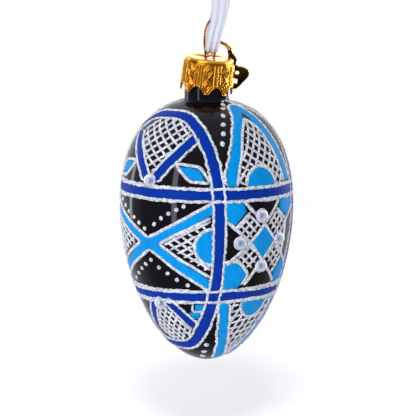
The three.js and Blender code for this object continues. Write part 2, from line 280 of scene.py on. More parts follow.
def new_piece(name, bm, materials, body, slot=None, stands_for=()):
    """The mesh as a named piece, in metres in the shared frame, riding on its body."""
    mesh = bpy.data.meshes.new(name)
    bm.to_mesh(mesh)
    bm.free()
    for material in materials:
        mesh.materials.append(material)
    mesh.polygons.foreach_set("use_smooth", [True] * len(mesh.polygons))
    mesh.update()
    piece = bpy.data.objects.new(name, mesh)
    bpy.context.scene.collection.objects.link(piece)
    if body:
        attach(piece, body)
    if stands_for:
        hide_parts(*stands_for)
    if slot in METAL_SLOTS:
        bpy.data.collections["bright_metals"].objects.link(piece)
    return piece


def grid_faces(bm, rows, closed_round=False, closed_along=False, material=0):
    """Quads between rows of vertices."""
    count = len(rows)
    for i in range(count if closed_along else count - 1):
        a, b = rows[i], rows[(i + 1) % count]
        wide = len(a)
        for j in range(wide if closed_round else wide - 1):
            k = (j + 1) % wide
            face = bm.faces.new((a[j], a[k], b[k], b[j]))
            face.material_index = material


def around(count):
    """Cosine and sine at even steps round a circle."""
    return [(math.cos(TAU * i / count), math.sin(TAU * i / count)) for i in range(count)]


def turned(bm, profile, steps, place):
    """A profile of (radius, height) turned round Z. A zero radius closes to one vertex."""
    rows = []
    for radius, height in profile:
        if radius < 1e-6:
            rows.append([bm.verts.new(place(Vector((0, 0, height))))])
            continue
        rows.append([bm.verts.new(place(Vector((radius * c, radius * s, height)))) for c, s in around(steps)])
    for a, b in zip(rows, rows[1:]):
        if len(a) == 1 and len(b) == 1:
            continue
        if len(a) == 1 or len(b) == 1:
            tip, ring = (a[0], b) if len(a) == 1 else (b[0], a)
            for i in range(steps):
                pair = (ring[i], ring[(i + 1) % steps])
                bm.faces.new((tip, *(pair if len(a) > 1 else pair[::-1])))
            continue
        for i in range(steps):
            j = (i + 1) % steps
            bm.faces.new((a[i], a[j], b[j], b[i]))


def smooth_path(points, closed=False, per_span=12):
    """Centripetal Catmull-Rom points through the given ones."""
    points = [Vector(p) for p in points]
    if closed:
        points = [points[-1], *points, points[0], points[1]]
    else:
        points = [2 * points[0] - points[1], *points, 2 * points[-1] - points[-2]]
    out = []
    for p0, p1, p2, p3 in zip(points, points[1:], points[2:], points[3:]):
        t0 = 0.0
        t1 = t0 + max((p1 - p0).length, 1e-9) ** 0.5
        t2 = t1 + max((p2 - p1).length, 1e-9) ** 0.5
        t3 = t2 + max((p3 - p2).length, 1e-9) ** 0.5
        for i in range(per_span):
            t = t1 + (t2 - t1) * i / per_span
            a1 = p0 * ((t1 - t) / (t1 - t0)) + p1 * ((t - t0) / (t1 - t0))
            a2 = p1 * ((t2 - t) / (t2 - t1)) + p2 * ((t - t1) / (t2 - t1))
            a3 = p2 * ((t3 - t) / (t3 - t2)) + p3 * ((t - t2) / (t3 - t2))
            b1 = a1 * ((t2 - t) / (t2 - t0)) + a2 * ((t - t0) / (t2 - t0))
            b2 = a2 * ((t3 - t) / (t3 - t1)) + a3 * ((t - t1) / (t3 - t1))
            out.append(b1 * ((t2 - t) / (t2 - t1)) + b2 * ((t - t1) / (t2 - t1)))
    if not closed:
        out.append(points[-2])
    return out


def evenly(points, step, closed=False):
    """Points a step apart along a polyline, ends kept."""
    if closed:
        points = [*points, points[0]]
    along = [0.0]
    for a, b in zip(points, points[1:]):
        along.append(along[-1] + (b - a).length)
    count = max(2, round(along[-1] / step))
    out, k = [], 0
    for i in range(count if closed else count + 1):
        want = along[-1] * i / count
        while k < len(along) - 2 and along[k + 1] < want:
            k += 1
        span = max(along[k + 1] - along[k], 1e-12)
        out.append(points[k].lerp(points[k + 1], (want - along[k]) / span))
    return out


def swept_tube(bm, path, radius, sides=16, place=lambda p: p, material=0, closed=False):
    """A round tube along a path, with rounded ends."""
    count = len(path)
    normal = None
    rows = []
    for i, point in enumerate(path):
        before = path[i - 1] if i or closed else path[i]
        after = path[(i + 1) % count] if i < count - 1 or closed else path[i]
        along = (after - before).normalized()
        if normal is None:
            normal = along.orthogonal().normalized()
        normal = (normal - along * normal.dot(along)).normalized()
        other = along.cross(normal)
        ring = [point + (normal * c + other * s) * radius for c, s in around(sides)]
        rows.append([bm.verts.new(place(spot)) for spot in ring])
    grid_faces(bm, rows, closed_round=True, closed_along=closed, material=material)
    if not closed:
        for ring, point, neighbour in ((rows[0], path[0], path[1]), (rows[-1], path[-1], path[-2])):
            tip = bm.verts.new(place(point + (point - neighbour).normalized() * radius * 0.6))
            for j in range(sides):
                pair = (ring[j], ring[(j + 1) % sides])
                face = bm.faces.new((tip, *(pair[::-1] if ring is rows[0] else pair)))
                face.material_index = material


# --- the painted surface --------------------------------------------------------------------------------


SUNK = -0.06  # the edge of the paint, under the surface of the glass


def egg_radius(height):
    """The egg's radius at a height above its widest part."""
    pole, fullness = (EGG_BELOW, LOWER_FULLNESS) if height < 0 else (EGG_ABOVE, UPPER_FULLNESS)
    share = min(abs(height) / pole, 0.99999)
    return EGG_RADIUS * (1 - share**fullness) ** (1 / fullness)


def on_glass(turn, height, lift=0.0):
    """A point on the glass in millimetres from the egg's centre, lifted off it along its normal."""
    slope = (egg_radius(height + 0.05) - egg_radius(height - 0.05)) / 0.1
    angle = math.radians(turn)
    out = Vector((math.sin(angle), -math.cos(angle), 0))
    normal = (out - Vector((0, 0, slope))).normalized()
    return out * egg_radius(height) + Vector((0, 0, height)) + normal * lift


def glass_normal(point):
    """The way the glass faces at a point."""
    slope = (egg_radius(point.z + 0.05) - egg_radius(point.z - 0.05)) / 0.1
    out = Vector((point.x, point.y, 0)).normalized()
    return (out - Vector((0, 0, slope))).normalized()


def to_glass(point, lift):
    """The point's nearest place on the glass by turn and height, lifted."""
    turn = math.degrees(math.atan2(point.x, -point.y))
    return on_glass(turn, max(-EGG_BELOW + 0.02, min(SHOULDER, point.z)), lift)


def in_row(point):
    """From the egg's millimetres to the shared frame's metres."""
    return (EGG_CENTRE + point) * MM


def lay(bm, path, columns, closed=False, step=0.7, wander=0.1, ragged=0.0, seed=1, taper=False):
    """Paint laid along a path of (turn, height): columns are (distance to the side, lift)."""
    fine = smooth_path([(turn, height, 0) for turn, height in path], closed)
    points = evenly([on_glass(p.x, p.y) for p in fine], step, closed)
    count = len(points)
    rows = []
    chance = random.Random(seed)
    for i, point in enumerate(points):
        before = points[i - 1] if i or closed else points[0]
        after = points[(i + 1) % count] if i < count - 1 or closed else points[-1]
        normal = glass_normal(point)
        side = (after - before).normalized().cross(normal)
        drift = wander * noise.noise(Vector((i * step * 0.22, seed * 7.31, 0.5))) * 2
        if closed:
            drift *= min(1.0, i / 8, (count - i) / 8)
        width = 1.0 + ragged * (chance.random() - 0.5) * 2
        rise = 1.0 + ragged * (chance.random() - 0.5)
        if taper and not closed:
            end = min(i, count - 1 - i)
            width *= (0.45, 0.85, 1.0)[min(end, 2)]
            rise *= (0.4, 0.8, 1.0)[min(end, 2)]
        row = []
        for offset, lift in columns:
            jitter = 1.0 + ragged * (chance.random() - 0.5) * 0.9
            spot = point + side * (offset * width + drift)
            height = lift * rise * jitter if lift > 0 else lift
            row.append(bm.verts.new(in_row(to_glass(spot, height))))
        rows.append(row)
    grid_faces(bm, rows, closed_along=closed)
    if not closed:
        for row in (rows[0], rows[-1]):
            bm.faces.new(row)


def band_columns(width, lift, shift=0.0):
    """A flat enamel stroke with soft edges that run into the glass."""
    half = width / 2
    return [
        (shift - half, SUNK), (shift - half * 0.94, lift * 0.8), (shift - half * 0.5, lift),
        (shift, lift), (shift + half * 0.5, lift), (shift + half * 0.94, lift * 0.8), (shift + half, SUNK),
    ]


def bead_columns(width, lift, shift=0.0):
    """A raised line of paste, round on top."""
    half = width / 2
    return [
        (shift - half, SUNK), (shift - half * 0.72, lift * 0.62), (shift, lift),
        (shift + half * 0.72, lift * 0.62), (shift + half, SUNK),
    ]


def flat_place(outline):
    """A plane for laying out a region: its middle and how many millimetres a degree is there."""
    turn = sum(t for t, _ in outline) / len(outline)
    height = sum(h for _, h in outline) / len(outline)
    return turn, height, egg_radius(height) * math.pi / 180


def inside(x, y, polygon):
    """Whether a place lies in a closed outline."""
    odd = False
    for (x1, y1), (x2, y2) in zip(polygon, polygon[1:] + polygon[:1]):
        if (y1 > y) != (y2 > y) and x < (x2 - x1) * (y - y1) / (y2 - y1) + x1:
            odd = not odd
    return odd


def grown(loop, amount):
    """A closed outline moved outwards by an amount."""
    area = sum(ax * by - bx * ay for (ax, ay), (bx, by) in zip(loop, loop[1:] + loop[:1]))
    out = []
    for i, (x, y) in enumerate(loop):
        ax, ay = loop[i - 1]
        bx, by = loop[(i + 1) % len(loop)]
        dx, dy = bx - ax, by - ay
        size = math.copysign(math.hypot(dx, dy) or 1.0, area)
        out.append((x + dy / size * amount, y - dx / size * amount))
    return out


def fill(bm, outline, lift):
    """Enamel inside an outline of (turn, height), grown under its lines and fitted to the glass."""
    cell, grow = 1.6, 0.4
    turn, height, per_degree = flat_place(outline)
    flat = grown([((t - turn) * per_degree, h - height) for t, h in outline], grow)
    corners = [Vector((x, y, 0)) for x, y in flat]
    part = bmesh.new()
    part.faces.new([part.verts.new(c) for c in corners])
    reach = max(c.length for c in corners)
    for axis in (0, 1):
        cut = -math.floor(reach / cell) * cell
        while cut < reach:
            spot, normal = [0.0, 0.0, 0.0], [0.0, 0.0, 0.0]
            spot[axis], normal[axis] = cut, 1.0
            geometry = part.verts[:] + part.edges[:] + part.faces[:]
            bmesh.ops.bisect_plane(part, geom=geometry, plane_co=spot, plane_no=normal, dist=1e-5)
            cut += cell
    rim = [e for e in part.edges if e.is_boundary]
    skirt = bmesh.ops.extrude_edge_only(part, edges=rim)["geom"]
    lowered = {v for v in skirt if isinstance(v, bmesh.types.BMVert)}
    # Cutting lists corners and faces in no fixed order, so they are sorted to come out the same each time.
    corners = sorted(part.verts, key=lambda v: (round(v.co.x, 5), round(v.co.y, 5), v in lowered))
    number = {v: k for k, v in enumerate(corners)}
    laid = []
    for v in corners:
        depth = SUNK if v in lowered else lift
        laid.append(bm.verts.new(in_row(on_glass(turn + v.co.x / per_degree, height + v.co.y, depth))))
    faces = [[number[v] for v in face.verts] for face in part.faces]
    for face in sorted(faces, key=sorted):
        bm.faces.new([laid[k] for k in face])
    part.free()


def round_outline(turn, height, radius, start=0.0, end=360.0, steps=20):
    """An arc of millimetre radius round a place on the glass, as (turn, height)."""
    per_degree = egg_radius(height) * math.pi / 180
    out = []
    for i in range(steps + 1):
        angle = math.radians(start + (end - start) * i / steps)
        out.append((turn + radius * math.cos(angle) / per_degree, height + radius * math.sin(angle)))
    return out


def hatch(bm, outline, angles, pitch, width, lift, holes=(), seed=1):
    """Crossed lines of paste inside an outline, leaving out the holes."""
    turn, height, per_degree = flat_place(outline)
    edge, *gaps = [[((t - turn) * per_degree, h - height) for t, h in shape] for shape in (outline, *holes)]
    reach = max(math.hypot(x, y) for x, y in edge)
    for family, angle in enumerate(angles):
        dx, dy = math.cos(math.radians(angle)), math.sin(math.radians(angle))
        line = -math.floor(reach / pitch) * pitch + pitch * 0.3
        while line < reach:
            run = []
            s = -reach
            while s <= reach + 0.3:
                x, y = dx * s - dy * line, dy * s + dx * line
                if inside(x, y, edge) and not any(inside(x, y, gap) for gap in gaps):
                    run.append((turn + x / per_degree, height + y))
                elif run:
                    if len(run) > 4:
                        seed += 1
                        lay(bm, [run[0], run[len(run) // 2], run[-1]], bead_columns(width, lift),
                            step=0.6, wander=0.13, ragged=0.16, seed=seed, taper=True)
                    run = []
                s += 0.25
            line += pitch


def dot(bm, turn, height, radius, lift, seed):
    """A dab of paste, a little out of round."""
    chance = random.Random(seed)
    centre = on_glass(turn, height)
    normal = glass_normal(centre)
    across = normal.orthogonal().normalized()
    other = normal.cross(across)
    stretch = 1.0 + chance.uniform(-0.15, 0.2)
    lean = chance.uniform(0, math.pi)
    tip = bm.verts.new(in_row(to_glass(centre, lift)))
    rows = []
    for share, rise in ((0.45, 0.92), (0.8, 0.6), (1.0, -0.1)):
        ring = []
        for c, s in around(12):
            size = radius * share * (1 + chance.uniform(-0.07, 0.07))
            x = c * size * stretch
            y = s * size / stretch
            x, y = x * math.cos(lean) - y * math.sin(lean), x * math.sin(lean) + y * math.cos(lean)
            ring.append(bm.verts.new(in_row(to_glass(centre + across * x + other * y, lift * rise))))
        rows.append(ring)
    for j in range(12):
        bm.faces.new((tip, rows[0][j], rows[0][(j + 1) % 12]))
    grid_faces(bm, rows, closed_round=True)


# --- layout of the painted pattern ----------------------------------------------------------------------


class Paint:
    """The layers of paint, each one mesh, and the sizes they are laid with.

    Paths are given from the middle of a face, and turned to the face in hand.
    """

    narrow = 0.85  # lines beside a band, against a plain line
    dab_height = 0.4

    def __init__(self, sizes):
        self.dark, self.light = bmesh.new(), bmesh.new()
        self.lines, self.hatching, self.dots = bmesh.new(), bmesh.new(), bmesh.new()
        self.line = sizes.line_width / MM
        self.rise = sizes.line_height / MM
        self.fine = sizes.hatch_width / MM
        self.pitch = sizes.hatch_pitch / MM
        self.band = sizes.band_width / MM
        self.spot = sizes.dot_diameter / MM / 2
        self.seed = 10
        self.at = 0

    def next_seed(self):
        self.seed += 1
        return self.seed

    def placed(self, path):
        return [(turn + self.at, height) for turn, height in path]

    def bead(self, placed, width, closed=False, shift=0.0):
        columns = bead_columns(self.line * width, self.rise, shift)
        seed = self.next_seed()
        lay(self.lines, placed, columns, closed, 0.6, wander=0.1, ragged=0.1, seed=seed, taper=True)

    def outline(self, path, width=1.0):
        self.bead(self.placed(path), width)

    def stroke(self, layer, path, width, closed=False, lift=0.12, edges=(-1, 1)):
        """A flat band with a line of paste along its sides."""
        placed = self.placed(path)
        lay(layer, placed, band_columns(width, lift), closed, wander=0.06, ragged=0.02, seed=self.next_seed())
        for side in edges:
            self.bead(placed, self.narrow, closed, side * (width / 2 + 0.36 * self.line))

    def arm(self, path):
        """A light blue stroke with no line of its own."""
        lay(self.light, self.placed(path), band_columns(3.3, 0.1), wander=0.05, seed=self.next_seed())

    def field(self, region, lift=0.11):
        fill(self.light, self.placed(region), lift)

    def dab(self, turn, height, size=1.0):
        dot(self.dots, turn + self.at, height, self.spot * size, self.dab_height, self.next_seed())

    def hatched(self, region, angles, holes=(), spread=1.0):
        edge, *gaps = [self.placed(shape) for shape in (region, *holes)]
        seed = self.next_seed() * 100
        hatch(self.hatching, edge, angles, self.pitch * spread, self.fine, self.rise * 0.7, gaps, seed)


def flip(path, side):
    """The path as it is on the right, and mirrored on the left."""
    return path if side > 0 else [(-turn, height) for turn, height in path]


def loop_line():
    """The big loop round its face, flat-sided, a little wider on its left."""
    out = []
    for i in range(72):
        angle = TAU * i / 72
        c, s = math.cos(angle), math.sin(angle)
        fullness = 3.0 if c > 0 else 3.5
        left = 59.0 if s > 0 else 61.5
        across = math.copysign(abs(c) ** (2 / fullness), c) * (49.7 if c > 0 else left)
        along = math.copysign(abs(s) ** (2 / fullness), s) * (34.3 if s > 0 else 39.4)
        out.append((across, -4.0 + along))
    return out


def draw_loop_face(paint):
    """Cross, dotted triangles, hatched fans and leaves inside the loop. Turns are from the face's middle."""
    paint.stroke(paint.dark, loop_line(), paint.band, closed=True, lift=0.16)

    # Crossing arms between the two level bands
    for end in ((47, 3.1), (47, -23.3), (-54, 3.8), (-54, -24.6)):
        arm = [(-1, -9.2), ((end[0] - 1) / 2, (end[1] - 9.2) / 2), end]
        paint.arm(arm)
    for end in ((44, 4.3), (-51, 4.3)):
        paint.outline([(-1.2, -7.4), (end[0] * 0.5, -1.7), end])
    for end in ((43, -24.0), (-50, -24.0)):
        paint.outline([(-0.8, -11.2), (end[0] * 0.5, -17.8), end])
    for side, reach, middle in ((1, 44, 45.6), (-1, 50.5, 51.6)):
        tip = side * 8.4 - 1
        edge = side * reach
        upper, lower = (edge, -0.2), (edge, -19.4)
        paint.outline([(tip, -9.2), ((tip + edge) / 2, -4.6), upper])
        paint.outline([(tip, -9.2), ((tip + edge) / 2, -14.4), lower])
        start, stop = (90, 270) if side > 0 else (-90, 90)
        disc = round_outline(side * middle, -9.5, 5.2, start, stop)
        paint.field(disc)
        paint.outline(round_outline(side * middle, -9.5, 5.8, start, stop), width=1.1)
        fan = [(tip + side * 3, -9.2), (edge, -1.2), (edge, -18.2)]
        gap = round_outline(side * middle, -9.5, 6.2)
        paint.hatched(fan, (28, -32), [gap])

    spots = [(-4, -4.7), (4.5, -2.9), (10, -0.8), (15.5, 0.8), (21, 2.2), (26, 3.3)]
    spots += [(-9.5, -3.1), (-15, -1.6), (-21.5, -0.2), (-27, 1.4), (-33, 3.0)]
    spots += [(-1, -14.6), (5.3, -16.8), (12, -18.5), (19, -20.4), (27, -22.0)]
    spots += [(-7, -16.3), (-12.6, -18.0), (-18.4, -19.8), (-25, -21.8)]
    for turn, height in spots:
        paint.dab(turn, height)

    # The fan above, with its two arms and the leaf beside each
    arm = [(3, 10.8), (8, 13.8), (16, 17.7), (26, 21.8), (33, 24.4)]
    fan = [(0, 13.0), (8, 16.8), (16.5, 20.4), (28.5, 25.2), (22.5, 27.9), (11, 29.2), (0, 29.6)]
    fan += [(-t, h) for t, h in fan[:0:-1]][1:]
    paint.hatched(fan, (34, -39), spread=1.05)
    for side in (1, -1):
        paint.stroke(paint.dark, flip(arm, side), 2.8)
        leaf = [(22.5, 15.1), (29, 14.9), (36, 14.2), (39.5, 11.5), (32, 12.0), (27, 13.2)]
        paint.field(flip(leaf, side))
        rim = [(18.8, 16.1), (28, 16.0), (36.6, 15.2), (41, 12.6), (43.4, 10.9)]
        paint.outline(flip(rim, side))
        paint.outline(flip([(19.4, 15.8), (24, 13.4), (30, 11.1), (36, 10.9), (43, 10.6)], side))

    # The fan below
    fan = [(1, -30.0), (7, -30.6), (16, -33.6), (27, -37.0), (20, -39.9), (9, -41.7), (0, -42.0)]
    fan += [(-8, -41.7), (-16, -39.8), (-20, -37.6), (-14.0, -33.6), (-6, -30.6)]
    paint.hatched(fan, (-44, 58), spread=0.85)
    paint.stroke(paint.dark, [(5, -27.6), (10.5, -29.3), (19, -32.6), (28.5, -36.2)], 2.5)
    paint.stroke(paint.dark, [(-6, -28.0), (-12, -31.1), (-18, -35.0), (-21, -37.4)], 2.5)
    for bit in (
        [(32.5, -28.9), (38.6, -28.9), (36.8, -30.4), (31.8, -30.4)],
        [(26.5, -31.7), (36, -31.3), (33, -33.1), (29.5, -33.0)],
    ):
        paint.field(bit, 0.1)
    paint.outline([(30, -28.4), (29, -30.6), (33, -31.0), (38, -30.8)], width=0.8)


def draw_diamond_face(paint):
    """Blue gables, and a diamond in a lattice, between two loops. Turns are from the front."""
    legs = [(16.6, 9.4), (18.2, 13.6), (21.2, 17.4), (24.5, 21.5), (29.5, 25.5), (36.6, 29.3), (44, 31.5)]
    legs += [(51, 31.9), (56.5, 30.0), (61, 25.4), (64, 20.2), (67, 15.4), (69.5, 9.4)]
    paint.stroke(paint.light, legs, 3.5, edges=(-1,))
    inner = [(21.2, 9.4), (22.6, 13.0), (25.6, 17.2), (28.8, 21.6), (34.2, 25.8), (44.2, 29.2), (53.4, 26.2)]
    inner += [(57.6, 21.4), (61.2, 15.8), (64.4, 9.4)]
    paint.outline(inner[:6])
    paint.outline(inner[5:])
    paint.outline([(40, 33.6), (52, 34.0), (64, 33.0), (76, 30.6), (86, 26.0)])
    gable = [(45, 28.8), (37, 26.0), (30.5, 21.5), (25.5, 16.5), (21.5, 9.0), (65, 9.0), (62, 14.0)]
    gable += [(58.5, 19.5), (56, 24.5), (52.5, 28.0)]
    cover = round_outline(40.4, 9.0, 6.4)
    paint.hatched(gable, (56, -35), [cover], spread=1.05)
    paint.field(round_outline(40.4, 9.4, 5.3, 0, 180))
    paint.outline(round_outline(40.4, 9.2, 5.9, 0, 180), width=1.1)

    # Lattice with its middle diamond
    lattice = (
        [(25.5, 4.4), (41.6, -3.0), (53, -8.8), (64, -13.8), (77, -18.4)],
        [(13.5, -1.6), (30.3, -8.6), (41.9, -14.6), (59.5, -22.6)],
        [(56, 4.2), (41.6, -3.0), (30.3, -8.6), (14, -15.4)],
        [(29, -22.4), (41.9, -14.6), (53, -8.8), (66, -2.6), (77, 1.6)],
    )
    for line in lattice:
        paint.outline(line, width=1.05)
    for line in ([(18.4, -4.4), (29.6, 1.2)], [(53, 1.4), (65, -2.8)], [(20.4, -13.4), (31.6, -18.8)],
                 [(54, -19.2), (63.4, -14.2)]):
        paint.outline(line)
    paint.field([(41.5, -3.9), (51.4, -8.8), (41.9, -13.6), (31.9, -8.6)])
    corners = (
        [(12.6, 4.2), (24.2, 4.2), (26.4, 1.6), (18.9, -2.4), (14.1, -1.2), (12.6, -1.2)],
        [(58.0, 4.2), (76, 3.6), (76, 0.6), (66.1, -1.6), (57.0, 1.4)],
        [(12.6, -15.6), (17, -15.2), (21, -15.2), (25.4, -16.4), (29.2, -18.8), (26, -21.4), (22.5, -23.2),
         (12.2, -23.2)],
        [(66.5, -15.6), (76, -19.2), (75, -23.0), (63.0, -23.0), (57.6, -19.4)],
    )
    for corner in corners:
        paint.field(corner)
    paint.outline([(12, -14.6), (18, -14.2), (22.5, -14.6), (27.5, -16.4), (30.6, -19.0), (26.5, -22.2)])
    cells = (
        [(29.7, 0.4), (38.5, -3.6), (29.9, -8.0), (20.6, -3.8)],
        [(53.0, 0.6), (63.6, -3.0), (53.2, -7.9), (43.8, -3.1)],
        [(30.2, -9.4), (39.4, -14.0), (31.7, -18.2), (21.4, -13.2)],
        [(53.0, -9.6), (62.2, -14.2), (54.4, -18.6), (44.2, -13.9)],
    )
    for cell in cells:
        paint.hatched(cell, (44, -44))

    # Gable upside down below
    left = [(14.4, -27.8), (15.8, -32.0), (17.3, -36.0), (20.2, -41.1), (24, -45.0), (31, -48.4)]
    right = [(74, -27.8), (72, -33.0), (69, -38.0), (64, -43.0), (56, -48.0)]
    for leg in (left, right):
        paint.stroke(paint.light, leg, 3.0)
    fan = [(19.5, -28.0), (69, -28.0), (67.5, -33.5), (64, -38.5), (58, -43.5), (50, -47.0), (40, -47.6)]
    fan += [(31, -45.6), (24.5, -41.0), (21, -35.0)]
    cover = round_outline(44, -28.0, 5.9)
    paint.hatched(fan, (12, 74), [cover], spread=0.95)
    paint.field(round_outline(44, -28.4, 4.8, 180, 360))
    paint.outline(round_outline(44, -28.2, 5.4, 180, 360), width=1.0)

    spots = [(32, 33.0), (25.6, 32.1), (19.8, 30.2), (16.6, 27.8), (14.8, 25.2), (12.8, 22.3)]
    spots += [(0, -43.0), (-4.3, -45.8), (-9, -47.6)]
    for turn, height in spots:
        paint.dab(turn, height, 1.2)


def draw_level_bands(paint):
    """The two level bands that go right round, each leaning a little."""
    for base, tilt, lift in ((6.8, -0.45, 0.13), (-25.9, 0.9, 0.14)):
        path = [(turn, base + tilt * math.sin(math.radians(turn))) for turn in range(-180, 180, 5)]
        paint.stroke(paint.dark, path, paint.band, closed=True, lift=lift)


# --- settings -------------------------------------------------------------------------------------------


def length(name, description, default, low=0.0, high=1.0):
    return bpy.props.FloatProperty(
        name=name, description=description, default=default, min=low, max=high, precision=5,
        subtype="DISTANCE", unit="LENGTH",
    )


def colour(name, description, code):
    return bpy.props.FloatVectorProperty(
        name=name, description=description, default=linear(code), size=3, min=0.0, max=1.0, subtype="COLOR"
    )


class PaintSettings(bpy.types.PropertyGroup):
    """Sizes and colours of the painted pattern."""

    band_width: length("Band width", "Width of the dark blue bands", 0.0031)
    line_width: length("Line width", "Width of the raised glitter lines", 0.0011)
    line_height: length("Line height", "How far the glitter lines stand off the glass", 0.00036)
    hatch_width: length("Hatch width", "Width of the crossed glitter lines", 0.00086)
    hatch_pitch: length("Hatch pitch", "Distance between crossed lines", 0.0021)
    dot_diameter: length("Dot diameter", "Diameter of the glitter dots", 0.00146)
    glass_colour: colour("Lacquer", "Colour of the lacquered glass", "#0E0B12")
    dark_colour: colour("Dark enamel", "Colour of the bands", "#003098")
    light_colour: colour("Light enamel", "Colour of the arms, gables and corners", "#008FDA")
    glitter_colour: colour("Glitter", "Colour of the raised lines and dots", "#E2E6F0")


class MetalSettings(bpy.types.PropertyGroup):
    """Sizes and colours of the cap, wire, ring and charm."""

    relief_height: length("Relief height", "Height of the cap's stamped ribs", 0.0004)
    gold_colour: colour("Cap gold", "Colour of the lacquered cap", "#FFBE45")
    wire_colour: colour("Wire", "Colour of the hanger wire", "#B4683F")
    charm_colour: colour("Charm", "Colour of the charm's faces", "#4E4227")
    edge_colour: colour("Charm edge", "Colour of the charm's rubbed edges and the ring", "#D9A83A")
    # Painted shade for the hollows between the stamped lines
    hollow_shade_colour: colour("Cap hollows", "Colour between the stamped lines", "#C27410")


class RibbonSettings(bpy.types.PropertyGroup):
    """Sizes and colour of the ribbon."""

    ribbon_width: length("Ribbon width", "Width of the flat ribbon", 0.0062)
    ribbon_thickness: length("Ribbon thickness", "Thickness of the ribbon", 0.00022)
    pleat_depth: length("Pleat depth", "Depth of the pleats where it is gathered", 0.00032)
    ribbon_colour: colour("Ribbon", "Colour of the satin", "#E0E3EE")


class StageSettings(bpy.types.PropertyGroup):
    """Camera, floor and light."""

    camera_distance: length("Camera distance", "From the lens to the middle of the view", 0.85, 0.1, 5.0)
    camera_drop: bpy.props.FloatProperty(
        name="Camera angle", description="How far the view looks down", default=math.radians(8.5),
        subtype="ANGLE", unit="ROTATION",
    )
    floor_level: length("Floor level", "Height of the floor below the hook", -0.1535, -1.0, 0.0)
    floor_colour: colour("Floor", "Colour of the floor", "#FAFAFA")
    floor_glow: bpy.props.FloatProperty(
        name="Floor glow", description="Light from below the floor", default=0.07, subtype="FACTOR",
    )
    sky_strength: bpy.props.FloatProperty(
        name="Room light", description="Strength of the even light", default=0.27, subtype="FACTOR",
    )


GROUPS = {
    "egg_paint": PaintSettings,
    "egg_metal": MetalSettings,
    "egg_ribbon": RibbonSettings,
    "egg_stage": StageSettings,
}


# --- stage ----------------------------------------------------------------------------------------------


def soft_box(name, place, aim, size, power, shown_in_gloss=True, tint=(1.0, 1.0, 1.0)):
    """A rectangular lamp that faces a point and isn't seen itself."""
    lamp = bpy.data.lights.new(name, "AREA")
    lamp.shape = "RECTANGLE"
    lamp.size, lamp.size_y = size
    lamp.energy = power
    lamp.color = tint
    holder = bpy.data.objects.new(name, lamp)
    holder.location = place
    holder.rotation_euler = (Vector(aim) - Vector(place)).to_track_quat("-Z", "Y").to_euler()
    holder.visible_camera = False
    holder.visible_glossy = shown_in_gloss
    bpy.context.scene.collection.objects.link(holder)
    return holder


